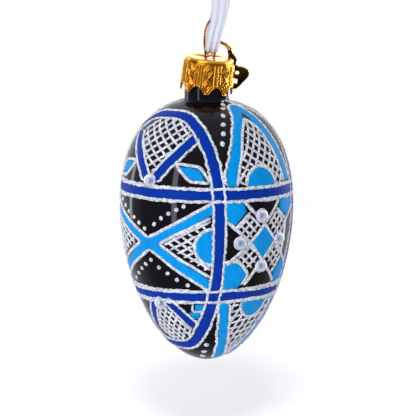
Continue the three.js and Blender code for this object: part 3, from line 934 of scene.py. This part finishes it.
def make_stage(settings):
    """Camera, pale room, floor board and lamps, with lamps of their own for the bright metals."""
    scene = bpy.context.scene
    scene.view_settings.view_transform = "Standard"
    aim = Vector((-0.00452, 0.0, -0.0786))
    drop = settings.camera_drop
    back = Vector((0, -math.cos(drop), math.sin(drop)))
    lens = bpy.data.cameras.new("camera")
    lens.lens = 229.9
    lens.sensor_width = 36.0
    camera = bpy.data.objects.new("camera", lens)
    camera.location = aim + back * settings.camera_distance
    camera.rotation_euler = (-back).to_track_quat("-Z", "Y").to_euler()
    lens.clip_start, lens.clip_end = 0.01, 50.0
    scene.collection.objects.link(camera)
    scene.camera = camera

    world = bpy.data.worlds.new("pale_room")
    world.use_nodes = True
    tree = world.node_tree
    tree.nodes.clear()
    look = node(tree, "ShaderNodeTexCoord").outputs["Generated"]
    _, ahead, up = node(tree, "ShaderNodeSeparateXYZ", Vector=look).outputs
    # A little darker below, with a bright ceiling and a bright far wall
    walls = node(tree, "ShaderNodeMapRange", Value=up, From_Min=-0.1, From_Max=0.1, To_Min=0.8, To_Max=1.2)
    ceiling = node(tree, "ShaderNodeMapRange", Value=up, From_Min=0.55, From_Max=0.95, To_Min=0.0, To_Max=1.6)
    far = node(tree, "ShaderNodeMapRange", Value=ahead, From_Min=0.0, From_Max=0.7, To_Min=0.0, To_Max=2.2)
    upper = node(tree, "ShaderNodeMath", ADD, i0=walls.outputs[0], i1=ceiling.outputs[0])
    both = node(tree, "ShaderNodeMath", ADD, i0=upper.outputs[0], i1=far.outputs[0])
    room = node(tree, "ShaderNodeMath", MULTIPLY, i0=both.outputs[0], i1=settings.sky_strength)
    seen = node(tree, "ShaderNodeLightPath").outputs["Is Camera Ray"]
    strength = node(tree, "ShaderNodeMix", i0=seen, i2=room.outputs[0], i3=1.0)
    sky = node(tree, "ShaderNodeBackground", Color=(1, 1, 1, 1), Strength=strength.outputs[0])
    node(tree, "ShaderNodeOutputWorld", i0=sky.outputs[0])
    scene.world = world

    bm = bmesh.new()
    middle = Vector((0, 0.1, settings.floor_level))
    turned(bm, [(0, 0), (0.2, 0), (0.4, 0), (0.62, 0)], 96, lambda p: p + middle)
    material, tree, shader, place = finish_material(
        "matt_floor_board", Roughness=0.85, Emission_Color=(1, 1, 1, 1), Emission_Strength=settings.floor_glow
    )
    tone = node(tree, "ShaderNodeTexNoise", Vector=place, Scale=8.0, Detail=2.0)
    mix = node(tree, "ShaderNodeMix", TINT, i0=tone.outputs[0],
                i6=rgba(settings.floor_colour, 0.99), i7=rgba(settings.floor_colour))
    # The board's edge fades away, so the room stays one even white.
    away = node(tree, "ShaderNodeVectorMath", {"operation": "DISTANCE"}, i0=place, i1=middle).outputs["Value"]
    fade = node(tree, "ShaderNodeMapRange", Value=away, From_Min=0.26, From_Max=0.6, To_Min=1.0, To_Max=0.0)
    plug(tree, shader, Base_Color=mix.outputs[2], Alpha=fade.outputs[0])
    floor = new_piece("floor", bm, [material], None)
    floor.visible_glossy = False

    sun = bpy.data.lights.new("light_key", "SUN")
    sun.energy = 0.9
    sun.angle = math.radians(12)
    key = bpy.data.objects.new("light_key", sun)
    key.rotation_euler = Vector((0.02, 1.0, -0.92)).to_track_quat("-Z", "Y").to_euler()
    key.visible_glossy = False
    scene.collection.objects.link(key)
    centre = (-0.005, 0.0, -0.085)
    soft_box("light_front", (-0.45, -1.15, 0.25), centre, (0.9, 0.9), 4.6, shown_in_gloss=False)
    for name, turn, wide, power in (
        ("strip_front", -43.0, 0.075, 0.85),
        ("strip_left", -119.0, 0.07, 0.55),
        ("strip_right", 131.0, 0.06, 0.75),
    ):
        angle = math.radians(turn)
        spot = (math.sin(angle) * 0.6, -math.cos(angle) * 0.6, -0.02)
        soft_box(name, spot, (0, 0, -0.08), (wide, 0.55), power, tint=(0.92, 0.94, 1.2))
    metals = bpy.data.collections.new("bright_metals")
    cap = (-0.005, 0, -0.035)
    for name, spot, size, power in (
        ("light_metal_front", (-0.5, -1.0, 0.3), (0.7, 0.7), 3.4),
        ("light_metal_back", (0.0, 1.0, 0.22), (1.3, 0.5), 3.0),
        ("light_metal_side", (0.577, 0.165, -0.03), (0.05, 0.4), 3.0),
    ):
        soft_box(name, spot, cap, size, power).light_linking.receiver_collection = metals


# --- ribbon ---------------------------------------------------------------------------------------------

# The ribbon's route in the CAD model, in metres
RIBBON_ROUTE = [
    (0.0, -0.0019, 0.0021), (-0.0001, -0.0021, -0.003), (-0.0005, -0.0028, -0.011),
    (-0.0011, -0.0034, -0.017), (-0.0022, -0.0035, -0.022), (-0.0031, -0.0032, -0.026),
    (-0.0037, -0.0024, -0.0282),
    (-0.0040, -0.0007, -0.0290), (-0.0042, 0.0010, -0.0281), (-0.0042, 0.0019, -0.026),
    (-0.0035, 0.0025, -0.0205), (-0.0013, 0.0021, -0.012), (-0.0003, 0.0019, -0.004), (0.0, 0.0019, 0.0021),
]


def between(stops, share):
    """A value that changes smoothly along (share, value) stops."""
    for (a, low), (b, high) in zip(stops, stops[1:]):
        if share <= b:
            t = (share - a) / (b - a)
            return low + (high - low) * t * t * (3 - 2 * t)
    return stops[-1][1]


def satin_strip(bm, path, sides, width, pleat, thickness, columns=28, pleats=2.5, phase=0.0):
    """A flat ribbon along a path, pleated across, with the weave's coordinates in metres."""
    weave = bm.loops.layers.uv.get("weave") or bm.loops.layers.uv.new("weave")
    rows, along = [], 0.0
    count = len(path)
    whole = max(width(s / 10) for s in range(11))  # the weave keeps this width where it is gathered
    for i, point in enumerate(path):
        if i:
            along += (point - path[i - 1]).length
        share = i / (count - 1)
        forward = (path[min(i + 1, count - 1)] - path[max(i - 1, 0)]).normalized()
        side = sides(share)
        side = (side - forward * side.dot(forward)).normalized()
        out = side.cross(forward)
        full, depth = width(share), pleat(share)
        front, rear = [], []
        for j in range(columns + 1):
            u = j / columns - 0.5
            fold = depth * math.cos(TAU * (u * pleats + phase)) * (1 - (2 * u) ** 4 * 0.6)
            wave = 0.00012 * noise.noise(Vector((u * 5, along * 160, phase)))
            spot = point + side * (u * full) + out * (fold + wave)
            thin = thickness / 2 * (1 if 0 < j < columns else 0.35)
            front.append((bm.verts.new(spot + out * thin), (u + 0.5) * whole, along))
            rear.append((bm.verts.new(spot - out * thin), (u + 0.5) * whole, along))
        rows.append(front + rear[::-1])
    wide = len(rows[0])
    for a, b in zip(rows, rows[1:]):
        for j in range(wide):
            k = (j + 1) % wide
            woven_face(bm, weave, (a[j], a[k], b[k], b[j]))
    for row, turn_over in ((rows[0], True), (rows[-1], False)):
        half = wide // 2
        for j in range(half - 1):
            corners = (row[j], row[j + 1], row[wide - 2 - j], row[wide - 1 - j])
            woven_face(bm, weave, corners[::-1] if turn_over else corners)


def woven_face(bm, weave, corners):
    """A face from (vertex, across, along) corners, with the weave's coordinates."""
    face = bm.faces.new([corner[0] for corner in corners])
    for corner, loop in zip(corners, face.loops):
        loop[weave].uv = corner[1:]


def make_ribbon(settings):
    """The satin loop through the wire, and the knot with its two cut tails."""
    material = woven_satin(settings)
    path = evenly(smooth_path(RIBBON_ROUTE, per_span=16), 0.0004)
    wide = settings.ribbon_width
    # Shares of the full width and of the pleats' depth, along the route
    widths = [(0, 0.62), (0.06, 0.86), (0.13, 1.0), (0.2, 1.0), (0.29, 0.8), (0.36, 0.7), (0.4, 0.72)]
    widths += [(0.455, 0.68), (0.5, 0.52), (0.55, 0.42), (0.68, 0.36), (0.8, 0.7), (0.92, 0.85), (1, 0.6)]
    pleats = [(0, 1.0), (0.12, 0.35), (0.28, 0.4), (0.42, 1.0)]
    pleats += [(0.56, 1.0), (0.75, 0.5), (0.9, 0.4), (1, 1.0)]
    bm = bmesh.new()
    satin_strip(
        bm, path, lambda share: Vector((1, 0.22 * math.cos(math.pi * share), 0)),
        lambda share: wide * between(widths, share),
        lambda share: settings.pleat_depth * between(pleats, share),
        settings.ribbon_thickness,
    )
    strip = new_piece("satin_ribbon_loop", bm, [material], None, "satin_ribbon", ["ribbon"])
    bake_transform(strip)

    # The knot: two wrapped turns over the gathered strands, and two cut tails
    bm = bmesh.new()
    for tilt, size, phase in ((0.32, (0.0036, 0.0029), 0.2), (-0.38, (0.0033, 0.0031), 0.6)):
        ring = []
        for i in range(72):
            turn = TAU * i / 72
            x, y = size[0] * math.cos(turn) * 0.93, size[1] * math.sin(turn) * 0.93
            ring.append(Vector((x, y, 0.0052 + tilt * x + 0.0007 * math.sin(2 * turn + phase * 6))))
        ring.append(ring[0].copy())
        upright = Vector((-tilt, 0, 1)).normalized()
        satin_strip(
            bm, ring, lambda share: upright, lambda share: 0.0046, lambda share: settings.pleat_depth * 1.1,
            settings.ribbon_thickness * 1.6, columns=20, pleats=2.0, phase=phase,
        )
    core = [(0.0, 0.0018), (0.0021, 0.0022), (0.0027, 0.0035), (0.0029, 0.0052)]
    core += [(0.0026, 0.0072), (0.0018, 0.0082), (0.0, 0.0085)]
    turned(bm, core, 32, lambda p: Vector((p.x * 1.08, p.y * 0.9, p.z)))
    for side in (-1, 1):
        tail = [(0.0, 0.0, 0.006), (0.0008, -0.0003, 0.0098), (0.0024, -0.0006, 0.0143)]
        tail += [(0.0040, -0.0014, 0.0176), (0.0054, -0.0010, 0.0203)]
        tail = [(side * x, side * y, z) for x, y, z in tail]
        line = evenly(smooth_path(tail), 0.0004)
        satin_strip(
            bm, line, lambda share, s=side: Vector((1, 0.35 * s * share, -0.1 * s)),
            lambda share: 0.0056 * between([(0, 0.45), (0.35, 0.9), (1, 1.0)], share),
            lambda share: settings.pleat_depth * between([(0, 1.3), (0.5, 0.5), (1, 0.35)], share),
            settings.ribbon_thickness, pleats=1.5, phase=0.3 * side,
        )
    knot = new_piece("satin_ribbon_knot", bm, [material], "knot", "satin_ribbon", ["ribbon_knot"])


# --- glass and paint ------------------------------------------------------------------------------------


def glass_profile(inset, share_steps):
    """(radius, height) from the foot up to the neck's rim, with a small fillet at the shoulder."""
    out = []
    for i in range(share_steps + 1):
        turn = math.pi / 2 * (1 - i / share_steps)
        radius = EGG_RADIUS * max(math.cos(turn), 0) ** (2 / LOWER_FULLNESS)
        out.append((max(radius - inset * (i > 0), 0.0) if i else 0.0,
                    -EGG_BELOW * math.sin(turn) ** (2 / LOWER_FULLNESS) + inset * (1 - i / share_steps)))
    top = SHOULDER - 0.9
    for i in range(1, share_steps + 1):
        height = top * math.sin(math.pi / 2 * i / share_steps)
        radius = egg_radius(height) - inset * (1 - 0.2 * i / share_steps)
        out.append((radius, height - inset * (i / share_steps) ** 2))
    neck = NECK_RADIUS - inset
    out += [(neck + 0.55, SHOULDER - 0.35 - inset), (neck + 0.22, SHOULDER + 0.1 - inset)]
    out += [(neck + 0.05, SHOULDER + 0.6 - inset * 0.6), (neck, SHOULDER + 1.3)]
    straight, rim = SHOULDER + NECK_STRAIGHT, SHOULDER + NECK_LENGTH
    rim_radius = NECK_RIM_RADIUS - inset
    for i in range(9):
        share = i / 8
        out.append((neck + (rim_radius - neck) * share**1.3, straight + (rim - 0.25 - straight) * share))
    return out


def make_glass(settings):
    """Blown shell with its neck: outside, rounded rim and inside as one closed skin."""
    outside = glass_profile(0.0, 64)
    within = glass_profile(GLASS_WALL, 40)
    rim = SHOULDER + NECK_LENGTH
    lip = [(NECK_RIM_RADIUS - inset, rim - drop) for inset, drop in ((0.1, 0.06), (0.4, 0), (0.7, 0.06))]
    bm = bmesh.new()
    turned(bm, [*outside, *lip, *within[::-1]], 180, in_row)
    new_piece("painted_glass_shell", bm, [blown_glass(settings)], "egg", "enamelled_glass", ["glass_shell"])


def make_paint(settings):
    """The pattern in enamel and glitter, on both sides of the egg."""
    paint = Paint(settings)
    draw_level_bands(paint)
    for repeat in FACE_REPEATS:
        paint.at = LOOP_FACE + repeat
        draw_loop_face(paint)
        paint.at = repeat
        draw_diamond_face(paint)
    paste = glitter(settings)
    layers = (
        ("dark_blue_bands", paint.dark, enamel("dark_blue_brushed_enamel", settings.dark_colour)),
        ("light_blue_fields", paint.light, enamel("light_blue_brushed_enamel", settings.light_colour)),
        ("glitter_outlines", paint.lines, paste),
        ("glitter_hatching", paint.hatching, paste),
        ("glitter_dots", paint.dots, paste),
    )
    for name, bm, material in layers:
        bmesh.ops.recalc_face_normals(bm, faces=bm.faces)
        new_piece(name, bm, [material], "egg", "enamelled_glass")


# Places on their faces: degrees from the face's middle, millimetres of height
LOOP_FACE_PEARLS = {"upper": (0, 10.6), "lower": (0, -28.8)}
DIAMOND_FACE_PEARLS = {
    "top": (0.0, -0.2), "bottom": (2.6, -16.4), "left": (-15.6, -8.4), "right": (18.0, -8.4),
}


def set_pearl(name, base, chance, materials):
    """One half pearl on its bed of paste, which bulges a little unevenly round it."""
    stand = glass_normal(base).to_track_quat("Z", "Y").to_matrix()
    foot, dome = 0.22, 1.68

    def place(point):
        return in_row(base + stand @ point)

    profile = [(0.0, -0.1), (1.5, -0.1), (1.85, 0.0), (PEARL_RADIUS, foot)]
    for i in range(1, 14):
        turn = math.pi / 2 * i / 14
        profile.append((PEARL_RADIUS * math.cos(turn), foot + dome * math.sin(turn)))
    profile.append((0.0, 1.9))
    bm = bmesh.new()
    turned(bm, profile, 32, place)
    bed = [Vector((c, s, 0)) * (PEARL_RADIUS + chance.uniform(-0.04, 0.05)) for c, s in around(40)]
    swept_tube(bm, bed, 0.3, 8, place, material=1, closed=True)
    new_piece(f"half_pearl_{name}", bm, materials, "egg", "half_pearl", [f"pearl_{name}"])


def make_pearls(settings):
    """The half pearls of every face."""
    materials = [pearl_shine(settings), glitter(settings)]
    faces = (("loop_face", LOOP_FACE_PEARLS, LOOP_FACE), ("diamond_face", DIAMOND_FACE_PEARLS, DIAMOND_FACE))
    for face, places, middle in faces:
        for index, repeat in enumerate(FACE_REPEATS, 1):
            for spot, (offset, height) in places.items():
                chance = random.Random(hash_of(face, index, spot))
                base = on_glass(middle + repeat + offset, height, 0.2)
                set_pearl(f"{face}_{index}_{spot}", base, chance, materials)


def hash_of(*words):
    """A repeatable seed from words."""
    return sum((i + 1) * ord(c) for i, c in enumerate("".join(map(str, words))))


# --- cap, wire, ring and charm --------------------------------------------------------------------------

FORWARD = Matrix.Rotation(CAP_LEAN_FORWARD, 4, "X")
LEAN = Matrix.Translation((0, 0, CAP_PIVOT)) @ FORWARD @ Matrix.Rotation(CAP_LEAN_RIGHT, 4, "Y")


def from_cap(point):
    """From the cap's own frame, in millimetres, to the shared frame's metres."""
    return in_row(LEAN @ Vector(point))


def notch_height(angle):
    """How far the hem rises at this angle: curved notches between flat-tipped teeth."""
    pitch = TAU / CAP_TEETH
    off = abs((angle / pitch - math.floor(angle / pitch)) - 0.5) * pitch * CAP_HEM_RADIUS
    mouth = (pitch * CAP_HEM_RADIUS - TOOTH_TIP) / 2
    if off >= mouth:
        return 0.0
    bend = mouth * 0.45
    a, b, c = mouth - 2 * bend, -2 * (mouth - bend), mouth - off
    share = (-b - math.sqrt(max(b * b - 4 * a * c, 0))) / (2 * a)
    return 2 * share * (1 - share) * 2.55 + share * share * TOOTH_HEIGHT


def cap_relief(angle, down):
    """The stamped pattern, from 0 to 1: a column of nested diamonds over each tooth, with ribs between."""
    pitch = TAU / CAP_TEETH
    near = (angle / pitch + 0.5) % 1.0 - 0.5
    across = near * pitch * CAP_TOP_RADIUS
    height = 0.0
    half_wide, half_tall, line_width = 1.35, 2.15, 0.17
    ribs_from, rib_middle, rib_spacing = 1.25, 3.02, 0.9
    for middle in (3.7, 8.3):
        ring = abs(across) / half_wide + abs(down - middle) / half_tall
        for edge in (1.0, 0.48):
            height = max(height, math.exp(-(((ring - edge) / line_width) ** 2)))
    if abs(across) > ribs_from:
        rib = 0.5 + 0.5 * math.cos(TAU * (abs(across) - rib_middle) / rib_spacing)
        height = max(height, min(1.0, (abs(across) - ribs_from) / 0.4) * rib * 0.7)
    return height * min(1.0, max(0.0, (down - 1.3) / 0.7))


def make_cap(settings):
    """Stamped cap: rounded top edge, relief skirt, toothed hem, thin wall and two leg holes."""
    bm = bmesh.new()
    steps = CAP_TEETH * 44
    top = CAP_TOP
    rise = settings.relief_height / MM
    turns = [TAU * i / steps for i in range(steps)]
    # Each vertex's relief share also sets the cap's colour: low places get the painted shade of the hollows,
    # and the inner wall a half share
    mark = bm.verts.layers.float.new("relief")

    def add(turn, radius, height, raised):
        vert = bm.verts.new(from_cap((radius * math.cos(turn), radius * math.sin(turn), height)))
        vert[mark] = raised
        return vert

    def ring_at(radius, height):
        return [add(t, radius, height, 0.9) for t in turns]

    outer_flat = ring_at(CAP_FLAT_RADIUS, top)
    rows = [outer_flat]
    for i in range(1, 7):
        turn = math.pi / 2 * i / 6
        radius = CAP_FLAT_RADIUS + CAP_EDGE * math.sin(turn)
        rows.append(ring_at(radius, top - CAP_EDGE * (1 - math.cos(turn))))
    down_steps = 76
    for i in range(1, down_steps + 1):
        share = i / down_steps
        row = []
        for t in turns:
            reach = CAP_HEIGHT - notch_height(t)
            down = CAP_EDGE + (reach - CAP_EDGE) * share
            radius = CAP_TOP_RADIUS + (CAP_HEM_RADIUS - CAP_TOP_RADIUS) * (down / CAP_HEIGHT)
            hem = math.exp(-(((reach - down) - 0.32) / 0.16) ** 2) * 0.7
            raised = max(cap_relief(t, down), hem)
            radius += rise * raised - 0.05
            row.append(add(t, radius, top - down, raised))
        rows.append(row)
    for i in range(8):
        share = 1 - i / 7
        row = []
        for t in turns:
            reach = CAP_HEIGHT - notch_height(t)
            down = CAP_WALL + (reach - CAP_WALL) * share
            radius = CAP_TOP_RADIUS - 0.32 + (CAP_HEM_RADIUS - CAP_TOP_RADIUS) * (down / CAP_HEIGHT)
            row.append(add(t, radius, top - down, 0.5))
        rows.append(row)
    grid_faces(bm, rows, closed_round=True)
    inner_flat = rows[-1]

    holes = []
    for level in (top, top - CAP_WALL):
        circles = []
        for side in (-1, 1):
            centre = Matrix.Rotation(LOOP_YAW, 4, "Z") @ Vector((side * LEG_HALF_SPACING, 0, level))
            circle = [centre + Vector((0.62 * c, 0.62 * s, 0)) for c, s in around(24)]
            circles.append([bm.verts.new(from_cap(point)) for point in circle])
        holes.append(circles)
    for above, below in zip(*holes):
        grid_faces(bm, [above, below], closed_round=True)
    for rim, circles in ((outer_flat, holes[0]), (inner_flat, holes[1])):
        edges = []
        for loop in (rim, *circles):
            for a, b in zip(loop, loop[1:] + loop[:1]):
                edges.append(bm.edges.get((a, b)) or bm.edges.new((a, b)))
        bmesh.ops.triangle_fill(bm, use_beauty=True, use_dissolve=False, edges=edges)
    bmesh.ops.recalc_face_normals(bm, faces=bm.faces)
    new_piece("stamped_cap", bm, [stamped_gold(settings)], "hanger", "gold_cap", ["ornament_cap"])


def loop_point(across, back, up):
    """A place on the wire loop, in the cap's frame."""
    flat = Matrix.Rotation(LOOP_YAW, 4, "Z") @ Vector((across, back, 0))
    return flat + Vector((0, 0, CAP_TOP + up))


def make_wire(settings):
    """Sprung copper wire: an arch above the cap, two splayed legs inside the neck."""
    tall, wide = LOOP_HEIGHT, LOOP_HALF_WIDTH
    legs, foot, deep = LEG_HALF_SPACING, FOOT_HALF_SPACING, LEG_DEPTH
    cap_top_height = CAP_PIVOT + CAP_TOP

    def above(across, up):
        return LEAN @ loop_point(across, 0, up)

    def below(across, down):
        return Matrix.Rotation(LOOP_YAW, 4, "Z") @ Vector((across, 0, cap_top_height - down))

    def half(side):
        return [
            above(side * wide * 0.55, tall * 0.9), above(side * wide * 0.9, tall * 0.76),
            above(side * wide, tall * 0.57), above(side * wide * 0.95, tall * 0.38),
            above(side * (legs + 0.5), tall * 0.13), above(side * legs, 0), above(side * legs, -0.8),
            below(side * (legs + 0.45), deep * 0.3), below(side * foot * 0.8, deep * 0.62),
            below(side * foot, deep * 0.88), below(side * (foot - 0.5), deep),
        ]

    points = [*half(-1)[::-1], above(0, tall), *half(1)]
    path = evenly(smooth_path(points), 0.35)
    bm = bmesh.new()
    swept_tube(bm, path, WIRE_DIAMETER / 2, 16, in_row)
    copper = drawn_metal("drawn_copper_wire", settings.wire_colour, 0.24)
    new_piece("copper_hanger", bm, [copper], "hanger", "copper_wire", ["hanger_wire"])


def hanging(roll, tilt):
    """The three directions of a piece that hangs behind the cap, as in the CAD model."""
    up = Vector((0, 0, 1))
    aside = RING_BEARING.cross(up) * math.cos(roll) + up * math.sin(roll)
    down = (-up + aside * aside.z).normalized()
    along = down * math.cos(tilt) + RING_BEARING * math.sin(tilt)
    return aside, -along, aside.cross(-along)


def ring_layout():
    """The ring's centre and radius and the charm's eye, in the cap's frame."""
    axes = hanging(RING_ROLL, RING_TILT)
    bearing_point = loop_point(LOOP_HALF_WIDTH * 0.96, 0, LOOP_HEIGHT * 0.4)
    inset = WIRE_DIAMETER / 2 + RING_WIRE / 2 + PIECE_GAP + RING_SLACK
    reach = CAP_TOP_RADIUS - EYE_INSIDE_EDGE - bearing_point.dot(RING_BEARING)
    radius = (reach / math.sin(RING_TILT) + inset) / 2
    centre = bearing_point - axes[1] * (radius - inset)
    return axes, centre, radius, centre - axes[1] * radius


def make_ring(settings):
    """A plated jump ring with its cut just closed, rolled so that its thin edge faces the front."""
    axes, centre, radius, _ = ring_layout()
    aside = Matrix.Rotation(math.radians(-68), 3, axes[1]) @ axes[0]
    opening, cut_at, steps = math.radians(4), 1.1, 72
    path = []
    for i in range(steps + 1):
        turn = -math.pi / 2 + cut_at + opening / 2 + (TAU - opening) * i / steps
        path.append(centre + aside * (radius * math.cos(turn)) + axes[1] * (radius * math.sin(turn)))
    bm = bmesh.new()
    swept_tube(bm, path, RING_WIRE / 2, 14, from_cap)
    plated = drawn_metal("plated_gold_wire", settings.edge_colour, 0.22)
    new_piece("jump_ring_wire", bm, [plated], "ring", "gold_ring", ["jump_ring"])


# The charm's outline, across and up from its eye
CHARM_EDGE = [
    (-0.6, -1.15), (-1.1, -2.4), (-2.2, -4), (-3.6, -5.4), (-5, -6.6), (-6.3, -7.7), (-7.1, -9.4),
    (-7.1, -11.2), (-6.3, -12.9), (-4.7, -13.9), (-1.8, -13.2), (1.2, -12), (1.8, -10.8), (1.5, -9.5),
    (0.6, -8.3), (-0.4, -7.4), (-0.4, -6.5), (0.6, -5.2), (0.6, -3.8), (0.5, -2.6), (0.6, -1.15),
]


def make_charm(settings):
    """Pierced plate with rubbed bright edges, hung by its corner from a cross-wise eye."""
    axes = hanging(CHARM_ROLL, CHARM_TILT)
    eye = ring_layout()[3]

    def place(x, y, z):
        return from_cap(eye + axes[0] * x + axes[1] * y + axes[2] * z)

    outer = [(p.x, p.y) for p in smooth_path([(x, y, 0) for x, y in CHARM_EDGE], closed=True, per_span=5)]
    window = [(-3.7, -12.6), (-2.7, -11.4), (-3.7, -10.2), (-4.7, -11.4)]
    window = [tuple(a[k] + (b[k] - a[k]) * i / 5 for k in (0, 1))
              for a, b in zip(window, window[1:] + window[:1]) for i in range(5)]
    size = CHARM_HOLE_RADIUS
    rounds = [[(x + size * c, y + size * s) for c, s in around(24)] for x, y in ((-1.7, -9.3), (-5.3, -8.6))]
    bm = bmesh.new()
    face, shoulder = 0.35, 0.2  # half the plate's thickness, and where its edge starts to round
    caps = {face: [], -face: []}
    for loop, grow in ((outer, -0.22), (window, 0.22), (rounds[0], 0.18), (rounds[1], 0.18)):
        inset = grown(loop, grow)
        rows = []
        for shape, level in ((inset, face), (loop, shoulder), (loop, -shoulder), (inset, -face)):
            rows.append([bm.verts.new(place(x, y, level)) for x, y in shape])
        grid_faces(bm, rows, closed_round=True, material=1)
        caps[face].append(rows[0])
        caps[-face].append(rows[-1])
    for loops in caps.values():
        edges = [bm.edges.get((a, b)) for loop in loops for a, b in zip(loop, loop[1:] + loop[:1])]
        bmesh.ops.triangle_fill(bm, use_beauty=True, use_dissolve=False, edges=edges)
    ring = [Vector((0, CHARM_EYE_RADIUS * c, CHARM_EYE_RADIUS * s)) for c, s in around(40)]
    swept_tube(bm, ring, 0.3, 12, lambda p: place(*p), material=1, closed=True)
    bmesh.ops.recalc_face_normals(bm, faces=bm.faces)
    faces = drawn_metal("antiqued_bronze_plate", settings.charm_colour, 0.38)
    edges = drawn_metal("rubbed_gilt_edge", settings.edge_colour, 0.28)
    new_piece("pierced_charm", bm, [faces, edges], "charm", "dark_bronze", ["charm_tag"])


# --- operators and panel --------------------------------------------------------------------------------


class ORNAMENT_OT_stage(bpy.types.Operator):
    """Make the camera, floor and soft light"""

    bl_idname = "ornament.stage"
    bl_label = "Stage"

    def execute(self, context):
        make_stage(context.scene.egg_stage)
        return {"FINISHED"}


class ORNAMENT_OT_ribbon(bpy.types.Operator):
    """Make the satin ribbon loop and its knot"""

    bl_idname = "ornament.ribbon"
    bl_label = "Ribbon"

    def execute(self, context):
        make_ribbon(context.scene.egg_ribbon)
        return {"FINISHED"}


class ORNAMENT_OT_glass(bpy.types.Operator):
    """Make the blown glass shell"""

    bl_idname = "ornament.glass"
    bl_label = "Glass"

    def execute(self, context):
        make_glass(context.scene.egg_paint)
        return {"FINISHED"}


class ORNAMENT_OT_paint(bpy.types.Operator):
    """Paint the pattern on the glass"""

    bl_idname = "ornament.paint"
    bl_label = "Paint"

    def execute(self, context):
        make_paint(context.scene.egg_paint)
        return {"FINISHED"}


class ORNAMENT_OT_pearls(bpy.types.Operator):
    """Set the half pearls"""

    bl_idname = "ornament.pearls"
    bl_label = "Pearls"

    def execute(self, context):
        make_pearls(context.scene.egg_paint)
        return {"FINISHED"}


class ORNAMENT_OT_cap(bpy.types.Operator):
    """Make the stamped cap"""

    bl_idname = "ornament.cap"
    bl_label = "Cap"

    def execute(self, context):
        make_cap(context.scene.egg_metal)
        return {"FINISHED"}


class ORNAMENT_OT_wire(bpy.types.Operator):
    """Make the hanger wire"""

    bl_idname = "ornament.wire"
    bl_label = "Wire"

    def execute(self, context):
        make_wire(context.scene.egg_metal)
        return {"FINISHED"}


class ORNAMENT_OT_ring(bpy.types.Operator):
    """Make the jump ring"""

    bl_idname = "ornament.ring"
    bl_label = "Ring"

    def execute(self, context):
        make_ring(context.scene.egg_metal)
        return {"FINISHED"}


class ORNAMENT_OT_charm(bpy.types.Operator):
    """Make the pierced charm"""

    bl_idname = "ornament.charm"
    bl_label = "Charm"

    def execute(self, context):
        make_charm(context.scene.egg_metal)
        return {"FINISHED"}


# In order: the stage makes the collection that the metal pieces join
OPERATORS = (
    ORNAMENT_OT_stage, ORNAMENT_OT_ribbon, ORNAMENT_OT_glass,
    ORNAMENT_OT_paint, ORNAMENT_OT_pearls, ORNAMENT_OT_cap,
    ORNAMENT_OT_wire, ORNAMENT_OT_ring, ORNAMENT_OT_charm,
)


class ORNAMENT_PT_build(bpy.types.Panel):
    """Lists the pieces of the ornament."""

    bl_label = "Egg ornament"
    bl_idname = "ORNAMENT_PT_build"
    bl_space_type = "VIEW_3D"
    bl_region_type = "UI"
    bl_category = "Ornament"

    def draw(self, context):
        for made in OPERATORS:
            self.layout.operator(made.bl_idname)
        for name, group in GROUPS.items():
            box = self.layout.box()
            for prop in group.__annotations__:
                box.prop(getattr(context.scene, name), prop)


def register():
    for name, group in GROUPS.items():
        bpy.utils.register_class(group)
        setattr(bpy.types.Scene, name, bpy.props.PointerProperty(type=group))
    for made in (*OPERATORS, ORNAMENT_PT_build):
        bpy.utils.register_class(made)


def unregister():
    for made in (*OPERATORS, ORNAMENT_PT_build):
        bpy.utils.unregister_class(made)
    for name, group in GROUPS.items():
        delattr(bpy.types.Scene, name)
        bpy.utils.unregister_class(group)


def main():
    register()
    for made in OPERATORS:
        getattr(bpy.ops.ornament, made.bl_idname.split(".")[1])()


if __name__ == "__main__":
    main()
